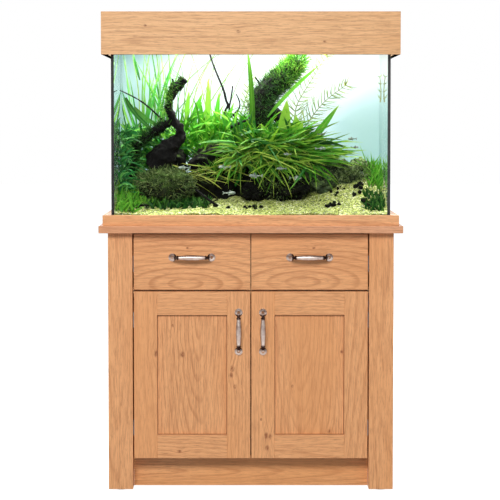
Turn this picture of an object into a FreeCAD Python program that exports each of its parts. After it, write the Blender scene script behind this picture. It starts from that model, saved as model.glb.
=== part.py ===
import FreeCAD, Part
import math
import os

# Aquarium on an oak cabinet: two drawers, two panelled doors, a framed glass tank, a lift-off hood.
# Millimetres. Origin on the floor under the middle of the whole piece, front facing -Y, +Z up.

# Overall outline
CABINET_WIDTH = 820.0
CABINET_DEPTH = 418.0
POST_WIDTH = 70.0
POST_DEPTH = 60.0
CARCASE_TOP = 744.0
GLIDE_RADIUS = 18.0
GLIDE_HEIGHT = 3.0
BOARD = 18.0
FRONT_BOARD = 22.0
EASED_EDGE = 0.8
CUT_MARGIN = 1.0

# Fronts
POST_PROUD = 6.0
SIDE_GAP = 3.5
CENTRE_GAP = 3.0
DOOR_BOTTOM = 92.0
DOOR_TOP = 575.0
DRAWER_FRONT_BOTTOM = 580.0
DRAWER_FRONT_TOP = 740.0
STILE_WIDTH = 67.0
RAIL_HEIGHT = 68.0
PANEL_THICKNESS = 8.0
PANEL_RECESS = 9.0
PANEL_TONGUE = 10.0

# Plinth, decks and back
PLINTH_BOTTOM = 4.0
PLINTH_SETBACK = 55.0
DECK_BOTTOM = 568.0
DOOR_CLEARANCE = 1.0
BACK_THICKNESS = 6.0
BACK_INSET = 7.0
BACK_BOTTOM = 60.0
SIDE_PANEL_INSET = 5.0
HOSE_CUTOUT = (220.0, 90.0)
HOSE_CUTOUT_CENTRE = (150.0, 474.0)

# Top board and the frame round the foot of the tank
TOP_SIZE = (870.0, 475.0, 21.0)
TOP_EASED_EDGE = 2.0
SURROUND_SIZE = (848.0, 448.0, 30.0)
MAT_THICKNESS = 5.0
MAT_INSET = 2.0

# Tank
TANK_SIZE = (800.0, 400.0, 530.0)
GLASS = 8.0
SEAM = 2.0
BRACE_WIDTH = 40.0
BRACE_DROP = 6.0
FILM_THICKNESS = 0.6
FILM_MARGIN = 12.0
FILM_INSET = 1.0

# Gravel heights above the tank's foot, front to back
GRAVEL_FRONT = 32.0
GRAVEL_MIDDLE = 52.0
GRAVEL_BACK = 84.0

# Stones as centre and radii
STONES = [
    ((-250, -75, 866), (66, 46, 44)),
    ((-118, 20, 904), (74, 52, 84)),
    ((106, -75, 854), (66, 42, 32)),
    ((232, -20, 884), (54, 52, 62)),
    ((232, -128, 830), (28, 22, 15)),
]

# Driftwood as points along each limb and the limb's radius at each point
LEFT_WOOD = [(-240, 62, 824), (-236, 62, 964), (-210, 62, 1022), (-234, 62, 1066), (-205, 62, 1164)]
LEFT_WOOD_RADII = (30, 26, 20, 18, 15)
LEFT_ROOT = [(-234, 62, 1066), (-300, 62, 1022), (-352, 62, 969)]
LEFT_ROOT_RADII = (14, 10, 6)
RIGHT_WOOD = [(20, 62, 824), (22, 62, 977), (34, 62, 1081), (58, 62, 1154), (146, 62, 1236)]
RIGHT_WOOD_RADII = (30, 26, 20, 16, 10)

# Plant clumps as centre and radii
CLUMPS = [
    ((-272, 142, 1034), (100, 40, 214)),
    ((92, -42, 989), (160, 48, 62)),
    ((225, 142, 1014), (110, 40, 190)),
]

# Hood
HOOD_SIZE = (852.0, 458.0, 122.0)
HOOD_TOP_Z = 1375.0
HOOD_BOARD = 18.0
LID_BOARD = 15.0
LID_HINGE_Y = -30.0
LID_GAP = 1.0
KNUCKLE_RADIUS = 3.0
KNUCKLE_LENGTH = 60.0
KNUCKLE_GAP = 0.5
HINGE_PIN_RADIUS = 1.2
PIN_CLEARANCE = 0.05
LEAF = 1.0
LEAF_HEIGHT = 11.0
WING_THICKNESS = 1.0
BATTEN = (26.0, 15.0)
LID_BATTEN = 12.0
CABLE_NOTCH = (60.0, 30.0)
CABLE_NOTCH_X = 330.0
LIGHT_SIZE = (640.0, 70.0, 18.0)
LIGHT_Y = 25.0
DIFFUSER_MARGIN = 8.0
DIFFUSER_THICKNESS = 3.0

# Drawer boxes and runners
RUNNER_SPACE = 13.0
RUNNER_HEIGHT = 45.0
RUNNER_CENTRE_Z = 653.0
RUNNER_LENGTH = 338.0
RUNNER_WEB = 1.5
RUNNER_FLANGE = 8.0
SLIDE_HEIGHT = 36.0
SLIDE_LENGTH = 300.0
SLIDE_THICKNESS = 9.0
DRAWER_SIDE = 12.0
DRAWER_DEPTH = 320.0
DRAWER_BOTTOM_Z = 597.0
DRAWER_TOP_Z = 707.0
DRAWER_FLOOR = 6.0
DRAWER_FLOOR_RISE = 8.0

# Handles: two rosettes, two curved necks and a turned spindle between them
HANDLE_SPAN = 112.0
ROSETTE_RADIUS = 11.5
ROSETTE_PLATE = 1.6
ROSETTE_DOME = 2.4
HANDLE_REACH = 25.0
SPINDLE_LENGTH = 82.0
SPINDLE_END_RADIUS = 5.2
SPINDLE_MIDDLE_RADIUS = 7.8
NECK_RADIUS = 4.2
NECK_START = 2.0
NECK_COLLAR = 1.5
ELBOW = (1.5, 18.0)
SCREW_RADIUS = 2.0
SCREW_HEAD = (4.0, 2.4)
SCREW_CLEARANCE = 0.3
SCREW_IN_FOOT = 3.0
DRAWER_HANDLE_Z = 673.5
DOOR_HANDLE_Z = 458.5

# Concealed door hinges
CUP_RADIUS = 17.5
CUP_DEPTH = 11.5
CUP_WALL = 1.5
CUP_LIP = 2.0
CUP_INSET = 22.5
CUP_FLANGE = (30.0, 52.0, 1.2)
HINGE_FROM_END = 85.0
ARM_SIZE = (13.0, 26.0, 14.0)
ARM_PLATE = (2.5, 24.0, 44.0)
ARM_GAP = 3.0

# Worked-out places
POST_INNER_X = CABINET_WIDTH / 2 - POST_WIDTH
FRONT_Y = -CABINET_DEPTH / 2
BACK_Y = CABINET_DEPTH / 2
FACE_Y = FRONT_Y + POST_PROUD
FACE_BACK_Y = FACE_Y + FRONT_BOARD
CARCASE_FRONT_Y = FACE_BACK_Y + DOOR_CLEARANCE
PLINTH_Y = FACE_Y + PLINTH_SETBACK
BACK_PANEL_Y = BACK_Y - BACK_INSET - BACK_THICKNESS
FRONT_WIDTH = POST_INNER_X - SIDE_GAP - CENTRE_GAP / 2
FRONT_OUTER_X = POST_INNER_X - SIDE_GAP
TOP_Z = CARCASE_TOP + TOP_SIZE[2]
TANK_Z = TOP_Z + MAT_THICKNESS
WALL_Z = TANK_Z + GLASS
TANK_TOP_Z = TANK_Z + TANK_SIZE[2]
HOOD_BOTTOM_Z = HOOD_TOP_Z - HOOD_SIZE[2]


def box(low, high):
    """Board between two opposite corners."""
    size = [high[i] - low[i] for i in range(3)]
    return Part.makeBox(size[0], size[1], size[2], FreeCAD.Vector(*low))


def eased(shape, radius=EASED_EDGE):
    """The same board with its edges slightly rounded."""
    return shape.makeFillet(radius, shape.Edges)


def rod(start, direction, radius, length):
    """Round bar from a point along a direction."""
    return Part.makeCylinder(radius, length, FreeCAD.Vector(*start), FreeCAD.Vector(*direction))


def mirrored(shape):
    """Copy on the other side of the middle plane, left to right."""
    return shape.mirror(FreeCAD.Vector(0, 0, 0), FreeCAD.Vector(1, 0, 0))


def save(name, *solids):
    """Write one sub-part, as a single solid or as a group of separate solids."""
    shape = solids[0] if len(solids) == 1 else Part.makeCompound(list(solids))
    shape.exportStep("parts/" + name + ".step")


def save_pair(name, shape):
    """Write the left piece and its mirrored right-hand twin."""
    save("left_" + name, shape)
    save("right_" + name, mirrored(shape))


def mitred_board(outer, width, low_z, high_z, side):
    """One board of a mitred frame; side is front, back, left or right."""
    half_x = outer[0] / 2
    half_y = outer[1] / 2
    sign = -1 if side in ("front", "left") else 1
    if side in ("front", "back"):
        corners = [(-half_x, sign * half_y), (half_x, sign * half_y)]
        corners += [(half_x - width, sign * (half_y - width)), (width - half_x, sign * (half_y - width))]
    else:
        corners = [(sign * half_x, -half_y), (sign * half_x, half_y)]
        corners += [(sign * (half_x - width), half_y - width), (sign * (half_x - width), width - half_y)]
    points = [FreeCAD.Vector(x, y, low_z) for x, y in corners]
    face = Part.Face(Part.makePolygon(points + points[:1]))
    return face.extrude(FreeCAD.Vector(0, 0, high_z - low_z))


def rounded_lump(centre, radii):
    """Egg-shaped solid with three different radii."""
    scale = FreeCAD.Matrix()
    scale.scale(FreeCAD.Vector(*radii))
    shape = Part.makeSphere(1.0).transformGeometry(scale)
    shape.translate(FreeCAD.Vector(*centre))
    return shape


def limb(points, radii):
    """Tapering branch through a few points, with a round joint at each."""
    shape = None
    for start, end, first, second in zip(points, points[1:], radii, radii[1:]):
        foot = FreeCAD.Vector(*start)
        run = FreeCAD.Vector(*end) - foot
        piece = Part.makeCone(first, second, run.Length, foot, run)
        piece = piece.fuse(Part.makeSphere(second, FreeCAD.Vector(*end)))
        shape = piece if shape is None else shape.fuse(piece)
    return shape


# Cabinet

def make_posts():
    front = box(
        (-CABINET_WIDTH / 2, FRONT_Y, GLIDE_HEIGHT),
        (-POST_INNER_X, FRONT_Y + POST_DEPTH, CARCASE_TOP),
    )
    rear = box(
        (-CABINET_WIDTH / 2, BACK_Y - POST_DEPTH, GLIDE_HEIGHT),
        (-POST_INNER_X, BACK_Y, CARCASE_TOP),
    )
    save_pair("front_post", eased(front))
    save_pair("rear_post", eased(rear))
    glides = []
    for x in (-1, 1):
        for y in (-1, 1):
            centre = (x * (CABINET_WIDTH - POST_WIDTH) / 2, y * (CABINET_DEPTH - POST_DEPTH) / 2, 0)
            glides.append(rod(centre, (0, 0, 1), GLIDE_RADIUS, GLIDE_HEIGHT))
    save("foot_glides", *glides)


def notched_board(front_y, low_z):
    """Full-width board between the side panels, cut away round the four posts."""
    side_x = CABINET_WIDTH / 2 - SIDE_PANEL_INSET - BOARD
    board = box((-side_x, front_y, low_z), (side_x, BACK_PANEL_Y, low_z + BOARD))
    notch_width = side_x + CUT_MARGIN - POST_INNER_X
    for low_x in (-side_x - CUT_MARGIN, POST_INNER_X):
        for low_y in (FRONT_Y, BACK_Y - POST_DEPTH):
            low = (low_x, low_y, low_z - CUT_MARGIN)
            high = (low_x + notch_width, low_y + POST_DEPTH, low_z + BOARD + CUT_MARGIN)
            board = board.cut(box(low, high))
    return board


def make_carcase():
    outer_x = CABINET_WIDTH / 2 - SIDE_PANEL_INSET
    side = box(
        (-outer_x, FRONT_Y + POST_DEPTH, BACK_BOTTOM),
        (-outer_x + BOARD, BACK_Y - POST_DEPTH, CARCASE_TOP),
    )
    save_pair("side_panel", side)
    back = box(
        (-POST_INNER_X, BACK_PANEL_Y, BACK_BOTTOM),
        (POST_INNER_X, BACK_PANEL_Y + BACK_THICKNESS, CARCASE_TOP),
    )
    centre_x, centre_z = HOSE_CUTOUT_CENTRE
    half_width = HOSE_CUTOUT[0] / 2
    half_height = HOSE_CUTOUT[1] / 2
    cutout = box(
        (centre_x - half_width, BACK_PANEL_Y - CUT_MARGIN, centre_z - half_height),
        (centre_x + half_width, BACK_PANEL_Y + BACK_THICKNESS + CUT_MARGIN, centre_z + half_height),
    )
    save("back_panel", back.cut(cutout))
    plinth = box((-POST_INNER_X, PLINTH_Y, PLINTH_BOTTOM), (POST_INNER_X, PLINTH_Y + BOARD, DOOR_BOTTOM))
    save("plinth", eased(plinth))
    base = notched_board(PLINTH_Y + BOARD, DOOR_BOTTOM - BOARD)
    save("base_panel", base)
    save("drawer_deck", notched_board(CARCASE_FRONT_Y, DECK_BOTTOM))
    divider = box(
        (-BOARD / 2, CARCASE_FRONT_Y, DECK_BOTTOM + BOARD),
        (BOARD / 2, BACK_PANEL_Y, CARCASE_TOP),
    )
    save("drawer_divider", divider)
    half_x = TOP_SIZE[0] / 2
    half_y = TOP_SIZE[1] / 2
    top = box((-half_x, -half_y, CARCASE_TOP), (half_x, half_y, TOP_Z))
    save("cabinet_top", eased(top, TOP_EASED_EDGE))


def runner_channel(wall_x, inward):
    """Steel C-channel screwed to a wall, open towards the drawer."""
    depth = RUNNER_WEB + RUNNER_FLANGE
    low_z = RUNNER_CENTRE_Z - RUNNER_HEIGHT / 2
    near = sorted((wall_x, wall_x + inward * depth))
    hollow = sorted((wall_x + inward * RUNNER_WEB, wall_x + inward * (depth + CUT_MARGIN)))
    outer = box(
        (near[0], CARCASE_FRONT_Y, low_z),
        (near[1], CARCASE_FRONT_Y + RUNNER_LENGTH, low_z + RUNNER_HEIGHT),
    )
    inner = box(
        (hollow[0], CARCASE_FRONT_Y - CUT_MARGIN, low_z + RUNNER_WEB),
        (hollow[1], CARCASE_FRONT_Y + RUNNER_LENGTH + CUT_MARGIN, low_z + RUNNER_HEIGHT - RUNNER_WEB),
    )
    return outer.cut(inner)


def make_runners():
    left_bay = [runner_channel(-POST_INNER_X, 1), runner_channel(-BOARD / 2, -1)]
    save("cabinet_runners", *(left_bay + [mirrored(shape) for shape in left_bay]))


# Handles and their screws

def handle_at(centre, upright):
    """Bow handle lying across a front board, with the two screws that hold it."""
    half_span = HANDLE_SPAN / 2
    half_spindle = SPINDLE_LENGTH / 2
    body = None
    screws = []
    for sign in (-1, 1):
        foot_x = sign * half_span
        base = rod((foot_x, 0, 0), (0, -1, 0), ROSETTE_RADIUS, ROSETTE_PLATE)
        dome = Part.makeCone(
            ROSETTE_RADIUS, NECK_RADIUS + NECK_COLLAR, ROSETTE_DOME,
            FreeCAD.Vector(foot_x, -ROSETTE_PLATE, 0), FreeCAD.Vector(0, -1, 0),
        )
        neck_foot = FreeCAD.Vector(foot_x, -NECK_START, 0)
        neck_end = FreeCAD.Vector(sign * half_spindle, -HANDLE_REACH, 0)
        elbow = FreeCAD.Vector(foot_x - sign * ELBOW[0], -ELBOW[1], 0)
        path = Part.Wire([Part.Arc(neck_foot, elbow, neck_end).toShape()])
        start_tangent = path.Edges[0].tangentAt(path.Edges[0].FirstParameter)
        ring = Part.Wire([Part.makeCircle(NECK_RADIUS, neck_foot, start_tangent)])
        neck = path.makePipeShell([ring], True, True)
        piece = base.fuse([dome, neck])
        body = piece if body is None else body.fuse(piece)
        screw = rod((foot_x, -SCREW_IN_FOOT, 0), (0, 1, 0), SCREW_RADIUS, SCREW_IN_FOOT + FRONT_BOARD)
        head = rod((foot_x, FRONT_BOARD, 0), (0, 1, 0), SCREW_HEAD[0], SCREW_HEAD[1])
        screws.append(screw.fuse(head).removeSplitter())
    profile = Part.Wire([
        Part.makeLine((-half_spindle, 0, 0), (-half_spindle, SPINDLE_END_RADIUS, 0)),
        Part.Arc(
            FreeCAD.Vector(-half_spindle, SPINDLE_END_RADIUS, 0),
            FreeCAD.Vector(0, SPINDLE_MIDDLE_RADIUS, 0),
            FreeCAD.Vector(half_spindle, SPINDLE_END_RADIUS, 0),
        ).toShape(),
        Part.makeLine((half_spindle, SPINDLE_END_RADIUS, 0), (half_spindle, 0, 0)),
        Part.makeLine((half_spindle, 0, 0), (-half_spindle, 0, 0)),
    ])
    spindle = Part.Face(profile).revolve(FreeCAD.Vector(0, 0, 0), FreeCAD.Vector(1, 0, 0), 360)
    spindle.translate(FreeCAD.Vector(0, -HANDLE_REACH, 0))
    body = body.fuse(spindle)
    for screw in screws:
        body = body.cut(screw)
    pieces = [body] + screws
    for piece in pieces:
        if upright:
            piece.rotate(FreeCAD.Vector(0, 0, 0), FreeCAD.Vector(0, 1, 0), 90)
        piece.translate(FreeCAD.Vector(*centre))
    return pieces


def drill_for_handle(board, centre, upright):
    """The board with clearance holes for the two handle screws."""
    for sign in (-1, 1):
        offset = sign * HANDLE_SPAN / 2
        x = centre[0] + (0 if upright else offset)
        z = centre[2] + (offset if upright else 0)
        start = (x, FACE_Y - CUT_MARGIN, z)
        hole = rod(start, (0, 1, 0), SCREW_RADIUS + SCREW_CLEARANCE, FRONT_BOARD + 2 * CUT_MARGIN)
        board = board.cut(hole)
    return board


# Drawers

def make_drawers():
    """Left drawer and its mirrored twin."""
    handle_centre = (-FRONT_OUTER_X + FRONT_WIDTH / 2, FACE_Y, DRAWER_HANDLE_Z)
    front = eased(box(
        (-FRONT_OUTER_X, FACE_Y, DRAWER_FRONT_BOTTOM),
        (-CENTRE_GAP / 2, FACE_BACK_Y, DRAWER_FRONT_TOP),
    ))
    save_pair("drawer_front", drill_for_handle(front, handle_centre, False))
    handle = handle_at(handle_centre, False)
    save("left_drawer_handle", *handle)
    save("right_drawer_handle", *[mirrored(piece) for piece in handle])

    outer = -POST_INNER_X + RUNNER_SPACE
    inner = -BOARD / 2 - RUNNER_SPACE
    rear = FACE_BACK_Y + DRAWER_DEPTH
    walls = [
        box((outer, FACE_BACK_Y, DRAWER_BOTTOM_Z), (outer + DRAWER_SIDE, rear, DRAWER_TOP_Z)),
        box((inner - DRAWER_SIDE, FACE_BACK_Y, DRAWER_BOTTOM_Z), (inner, rear, DRAWER_TOP_Z)),
        box(
            (outer + DRAWER_SIDE, rear - DRAWER_SIDE, DRAWER_BOTTOM_Z),
            (inner - DRAWER_SIDE, rear, DRAWER_TOP_Z),
        ),
    ]
    save("left_drawer_walls", *walls)
    save("right_drawer_walls", *[mirrored(wall) for wall in walls])
    floor_z = DRAWER_BOTTOM_Z + DRAWER_FLOOR_RISE
    save_pair("drawer_floor", box(
        (outer + DRAWER_SIDE, FACE_BACK_Y, floor_z),
        (inner - DRAWER_SIDE, rear - DRAWER_SIDE, floor_z + DRAWER_FLOOR),
    ))
    low_z = RUNNER_CENTRE_Z - SLIDE_HEIGHT / 2
    slides = [
        box(
            (outer - SLIDE_THICKNESS, CARCASE_FRONT_Y, low_z),
            (outer, CARCASE_FRONT_Y + SLIDE_LENGTH, low_z + SLIDE_HEIGHT),
        ),
        box(
            (inner, CARCASE_FRONT_Y, low_z),
            (inner + SLIDE_THICKNESS, CARCASE_FRONT_Y + SLIDE_LENGTH, low_z + SLIDE_HEIGHT),
        ),
    ]
    save("left_drawer_slides", *slides)
    save("right_drawer_slides", *[mirrored(slide) for slide in slides])


# Doors

def hinge_heights():
    return (DOOR_BOTTOM + HINGE_FROM_END, DOOR_TOP - HINGE_FROM_END)


def make_doors():
    """Left door with its hinge cups, the hinge arms on the posts, and the mirrored twins."""
    outer = -FRONT_OUTER_X
    inner = -CENTRE_GAP / 2
    panel_y = FACE_Y + PANEL_RECESS
    side_margin = STILE_WIDTH - PANEL_TONGUE
    end_margin = RAIL_HEIGHT - PANEL_TONGUE
    panel = box(
        (outer + side_margin, panel_y, DOOR_BOTTOM + end_margin),
        (inner - side_margin, panel_y + PANEL_THICKNESS, DOOR_TOP - end_margin),
    )
    stiles = []
    for low_x in (outer, inner - STILE_WIDTH):
        stile = eased(box((low_x, FACE_Y, DOOR_BOTTOM), (low_x + STILE_WIDTH, FACE_BACK_Y, DOOR_TOP)))
        stiles.append(stile.cut(panel))
    rails = []
    for low_z in (DOOR_BOTTOM, DOOR_TOP - RAIL_HEIGHT):
        rail = eased(box(
            (outer + STILE_WIDTH, FACE_Y, low_z),
            (inner - STILE_WIDTH, FACE_BACK_Y, low_z + RAIL_HEIGHT),
        ))
        rails.append(rail.cut(panel))

    cups = []
    arms = []
    cup_x = outer + CUP_INSET
    for z in hinge_heights():
        pocket = rod((cup_x, FACE_BACK_Y, z), (0, -1, 0), CUP_RADIUS, CUP_DEPTH)
        stiles[0] = stiles[0].cut(pocket)
        flange = box(
            (cup_x - CUP_FLANGE[0] / 2, FACE_BACK_Y, z - CUP_FLANGE[1] / 2),
            (cup_x + CUP_FLANGE[0] / 2, FACE_BACK_Y + CUP_FLANGE[2], z + CUP_FLANGE[1] / 2),
        )
        well = rod(
            (cup_x, FACE_BACK_Y + CUP_FLANGE[2] + CUT_MARGIN, z), (0, -1, 0),
            CUP_RADIUS - CUP_WALL - CUP_LIP, CUP_DEPTH + CUP_FLANGE[2] + CUT_MARGIN - CUP_WALL,
        )
        cups.append(pocket.fuse(flange).cut(well))
        arm_y = FACE_BACK_Y + ARM_GAP
        plate = box(
            (-POST_INNER_X, arm_y, z - ARM_PLATE[2] / 2),
            (-POST_INNER_X + ARM_PLATE[0], arm_y + ARM_PLATE[1], z + ARM_PLATE[2] / 2),
        )
        arm = box(
            (-POST_INNER_X, arm_y, z - ARM_SIZE[2] / 2),
            (-POST_INNER_X + ARM_SIZE[0], arm_y + ARM_SIZE[1], z + ARM_SIZE[2] / 2),
        )
        arms.append(plate.fuse(arm))
    handle_centre = (inner - STILE_WIDTH / 2, FACE_Y, DOOR_HANDLE_Z)
    stiles[1] = drill_for_handle(stiles[1], handle_centre, True)
    handle = handle_at(handle_centre, True)
    groups = {"door_stiles": stiles, "door_rails": rails, "door_handle": handle, "door_hinge_cups": cups}
    for name, solids in groups.items():
        save("left_" + name, *solids)
        save("right_" + name, *[mirrored(solid) for solid in solids])
    save_pair("door_panel", panel)
    save("hinge_arms", *(arms + [mirrored(arm) for arm in arms]))


# Tank

def make_tank():
    half_x = TANK_SIZE[0] / 2
    half_y = TANK_SIZE[1] / 2
    top = TOP_Z + SURROUND_SIZE[2]
    width = (SURROUND_SIZE[0] - TANK_SIZE[0]) / 2
    boards = [
        eased(mitred_board(SURROUND_SIZE, width, TOP_Z, top, side))
        for side in ("front", "back", "left", "right")
    ]
    save("tank_surround", *boards)
    save("foam_mat", box(
        (-half_x + MAT_INSET, -half_y + MAT_INSET, TOP_Z),
        (half_x - MAT_INSET, half_y - MAT_INSET, TANK_Z),
    ))
    save("base_glass", box((-half_x, -half_y, TANK_Z), (half_x, half_y, WALL_Z)))
    save("front_glass", box((-half_x, -half_y, WALL_Z), (half_x, -half_y + GLASS, TANK_TOP_Z)))
    save("back_glass", box((-half_x, half_y - GLASS, WALL_Z), (half_x, half_y, TANK_TOP_Z)))
    side_y = half_y - GLASS - SEAM
    save_pair("glass", box((-half_x, -side_y, WALL_Z), (-half_x + GLASS, side_y, TANK_TOP_Z)))
    seams = []
    for x in (-half_x, half_x - GLASS):
        for y in (-half_y + GLASS, side_y):
            seams.append(box((x, y, WALL_Z), (x + GLASS, y + SEAM, TANK_TOP_Z)))
    save("silicone_seams", *seams)
    brace_top = TANK_TOP_Z - BRACE_DROP
    inner_y = half_y - GLASS
    braces = []
    for low_y in (-inner_y, inner_y - BRACE_WIDTH):
        braces.append(box(
            (-half_x + GLASS, low_y, brace_top - GLASS),
            (half_x - GLASS, low_y + BRACE_WIDTH, brace_top),
        ))
    save("glass_braces", *braces)
    save("background_film", box(
        (-half_x + FILM_INSET, half_y, top + FILM_INSET),
        (half_x - FILM_INSET, half_y + FILM_THICKNESS, TANK_TOP_Z - FILM_MARGIN),
    ))


def gravel_solid():
    half_x = TANK_SIZE[0] / 2 - GLASS
    half_y = TANK_SIZE[1] / 2 - GLASS
    outline = [
        (-half_y, WALL_Z),
        (-half_y, TANK_Z + GRAVEL_FRONT),
        (0, TANK_Z + GRAVEL_MIDDLE),
        (half_y, TANK_Z + GRAVEL_BACK),
        (half_y, WALL_Z),
    ]
    points = [FreeCAD.Vector(-half_x, y, z) for y, z in outline]
    face = Part.Face(Part.makePolygon(points + points[:1]))
    return face.extrude(FreeCAD.Vector(2 * half_x, 0, 0))


def make_aquascape():
    """Gravel, stones, two pieces of driftwood and plain solids for the plant clumps."""
    gravel = gravel_solid()
    save("gravel_bed", gravel)
    save("stones", *[rounded_lump(centre, radii).cut(gravel) for centre, radii in STONES])
    left_wood = limb(LEFT_WOOD, LEFT_WOOD_RADII)
    left_root = limb(LEFT_ROOT, LEFT_ROOT_RADII)
    right_wood = limb(RIGHT_WOOD, RIGHT_WOOD_RADII)
    save("driftwood", left_wood.fuse(left_root).cut(gravel), right_wood.cut(gravel))
    save("plant_clumps", *[rounded_lump(centre, radii).cut(gravel) for centre, radii in CLUMPS])


# Hood

def lid_knuckles(moving):
    """Every second knuckle of the lid hinge, bored for its pin."""
    reach = HOOD_SIZE[0] / 2 - HOOD_BOARD - LID_GAP
    count = int(2 * reach / KNUCKLE_LENGTH)
    start = -count * KNUCKLE_LENGTH / 2
    axis_z = HOOD_TOP_Z - KNUCKLE_RADIUS
    knuckles = []
    for index in range(1 if moving else 0, count, 2):
        x = start + index * KNUCKLE_LENGTH
        length = KNUCKLE_LENGTH - KNUCKLE_GAP
        outer = rod((x, LID_HINGE_Y, axis_z), (1, 0, 0), KNUCKLE_RADIUS, length)
        bore_start = (x - CUT_MARGIN, LID_HINGE_Y, axis_z)
        bore = rod(bore_start, (1, 0, 0), HINGE_PIN_RADIUS + PIN_CLEARANCE, length + 2 * CUT_MARGIN)
        sign = -1 if moving else 1
        leaf_y = sorted(LID_HINGE_Y + sign * reach for reach in (KNUCKLE_RADIUS, KNUCKLE_RADIUS + LEAF))
        wing_start = LID_HINGE_Y + sign * (HINGE_PIN_RADIUS + WING_THICKNESS)
        wing_y = sorted((wing_start, leaf_y[0], leaf_y[1]))
        wing = box((x, wing_y[0], axis_z - WING_THICKNESS), (x + length, wing_y[-1], axis_z))
        leaf = box((x, leaf_y[0], axis_z - LEAF_HEIGHT), (x + length, leaf_y[1], axis_z))
        knuckles.append(outer.fuse([wing, leaf]).cut(bore))
    return knuckles


def make_hood():
    board_inner = (HOOD_SIZE[0] / 2 - HOOD_BOARD, HOOD_SIZE[1] / 2 - HOOD_BOARD)
    walls = {
        side: eased(mitred_board(HOOD_SIZE, HOOD_BOARD, HOOD_BOTTOM_Z, HOOD_TOP_Z, side))
        for side in ("front", "back", "left", "right")
    }
    notch_half = CABLE_NOTCH[0] / 2
    notch_top = HOOD_BOTTOM_Z + CABLE_NOTCH[1]
    notch = box(
        (CABLE_NOTCH_X - notch_half, board_inner[1] - CUT_MARGIN, HOOD_BOTTOM_Z - CUT_MARGIN),
        (CABLE_NOTCH_X + notch_half, HOOD_SIZE[1] / 2 + CUT_MARGIN, notch_top),
    )
    save("hood_front", walls["front"])
    save("hood_back", walls["back"].cut(notch))
    save("hood_sides", walls["left"], walls["right"])
    panel_low = HOOD_TOP_Z - LID_BOARD
    leaf_reach = KNUCKLE_RADIUS + LEAF
    save("hood_top", box(
        (-board_inner[0], LID_HINGE_Y + leaf_reach, panel_low),
        (board_inner[0], board_inner[1], HOOD_TOP_Z),
    ))
    save("hood_lid", eased(box(
        (-board_inner[0] + LID_GAP, -board_inner[1] + LID_GAP, panel_low),
        (board_inner[0] - LID_GAP, LID_HINGE_Y - leaf_reach, HOOD_TOP_Z),
    )))
    pin_length = int(2 * board_inner[0] / KNUCKLE_LENGTH) * KNUCKLE_LENGTH - KNUCKLE_GAP
    axis_z = HOOD_TOP_Z - KNUCKLE_RADIUS
    pin = rod((-pin_length / 2, LID_HINGE_Y, axis_z), (1, 0, 0), HINGE_PIN_RADIUS, pin_length)
    save("lid_hinge_leaf", *lid_knuckles(True))
    save("hood_hinge_leaf", *lid_knuckles(False))
    save("lid_hinge_pin", pin)
    wide, thick = BATTEN
    battens = []
    for sign in (-1, 1):
        side_x = sorted((sign * board_inner[0], sign * (board_inner[0] - wide)))
        side_y = sorted((sign * board_inner[1], sign * (board_inner[1] - wide)))
        battens.append(box(
            (side_x[0], -board_inner[1], TANK_TOP_Z),
            (side_x[1], board_inner[1], TANK_TOP_Z + thick),
        ))
        battens.append(box(
            (-board_inner[0] + wide, side_y[0], TANK_TOP_Z),
            (board_inner[0] - wide, side_y[1], TANK_TOP_Z + thick),
        ))
    battens.append(box(
        (-board_inner[0], -board_inner[1], panel_low - LID_BATTEN),
        (board_inner[0], -board_inner[1] + LID_BATTEN, panel_low),
    ))
    save("hood_battens", *battens)
    half = (LIGHT_SIZE[0] / 2, LIGHT_SIZE[1] / 2)
    low_z = panel_low - LIGHT_SIZE[2]
    housing = box((-half[0], LIGHT_Y - half[1], low_z), (half[0], LIGHT_Y + half[1], panel_low))
    diffuser = box(
        (-half[0] + DIFFUSER_MARGIN, LIGHT_Y - half[1] + DIFFUSER_MARGIN, low_z),
        (half[0] - DIFFUSER_MARGIN, LIGHT_Y + half[1] - DIFFUSER_MARGIN, low_z + DIFFUSER_THICKNESS),
    )
    save("light_housing", housing.cut(diffuser))
    save("light_diffuser", diffuser)


os.makedirs("parts", exist_ok=True)
make_posts()
make_carcase()
make_runners()
make_drawers()
make_doors()
make_tank()
make_aquascape()
make_hood()
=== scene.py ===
"""Looks of the planted aquarium on its oak cabinet. Metres, front facing -Y, floor at z = 0."""
import math

import bpy
import numpy as np
from mathutils import Matrix, Vector


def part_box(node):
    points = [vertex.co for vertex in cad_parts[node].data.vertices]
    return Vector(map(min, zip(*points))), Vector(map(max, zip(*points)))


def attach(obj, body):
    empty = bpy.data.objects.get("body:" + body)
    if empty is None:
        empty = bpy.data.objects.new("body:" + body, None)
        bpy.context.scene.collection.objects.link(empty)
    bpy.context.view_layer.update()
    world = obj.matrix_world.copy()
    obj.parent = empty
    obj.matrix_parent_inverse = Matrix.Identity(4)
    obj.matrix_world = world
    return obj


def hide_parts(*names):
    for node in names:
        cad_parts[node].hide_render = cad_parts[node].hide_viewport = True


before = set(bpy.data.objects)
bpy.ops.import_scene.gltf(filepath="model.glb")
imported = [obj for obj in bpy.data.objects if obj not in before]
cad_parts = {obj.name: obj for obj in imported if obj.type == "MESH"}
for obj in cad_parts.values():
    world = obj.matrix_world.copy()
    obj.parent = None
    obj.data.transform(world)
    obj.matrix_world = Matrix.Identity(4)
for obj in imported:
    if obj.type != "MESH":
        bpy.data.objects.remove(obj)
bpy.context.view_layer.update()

ROOT = "cabinet"
SIDES = (("left", -1), ("right", 1))


# ---------------------------------------------------------------- small tools

def linear(red, green, blue):
    """A display colour, 0 to 255, as the linear colour that a shader wants."""
    def channel(value):
        value /= 255.0
        return value / 12.92 if value <= 0.04045 else ((value + 0.055) / 1.055) ** 2.4
    return (channel(red), channel(green), channel(blue), 1.0)


def shade_of(colour, factor):
    return tuple(min(1.0, part * factor) for part in colour[:3]) + (1.0,)


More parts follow.
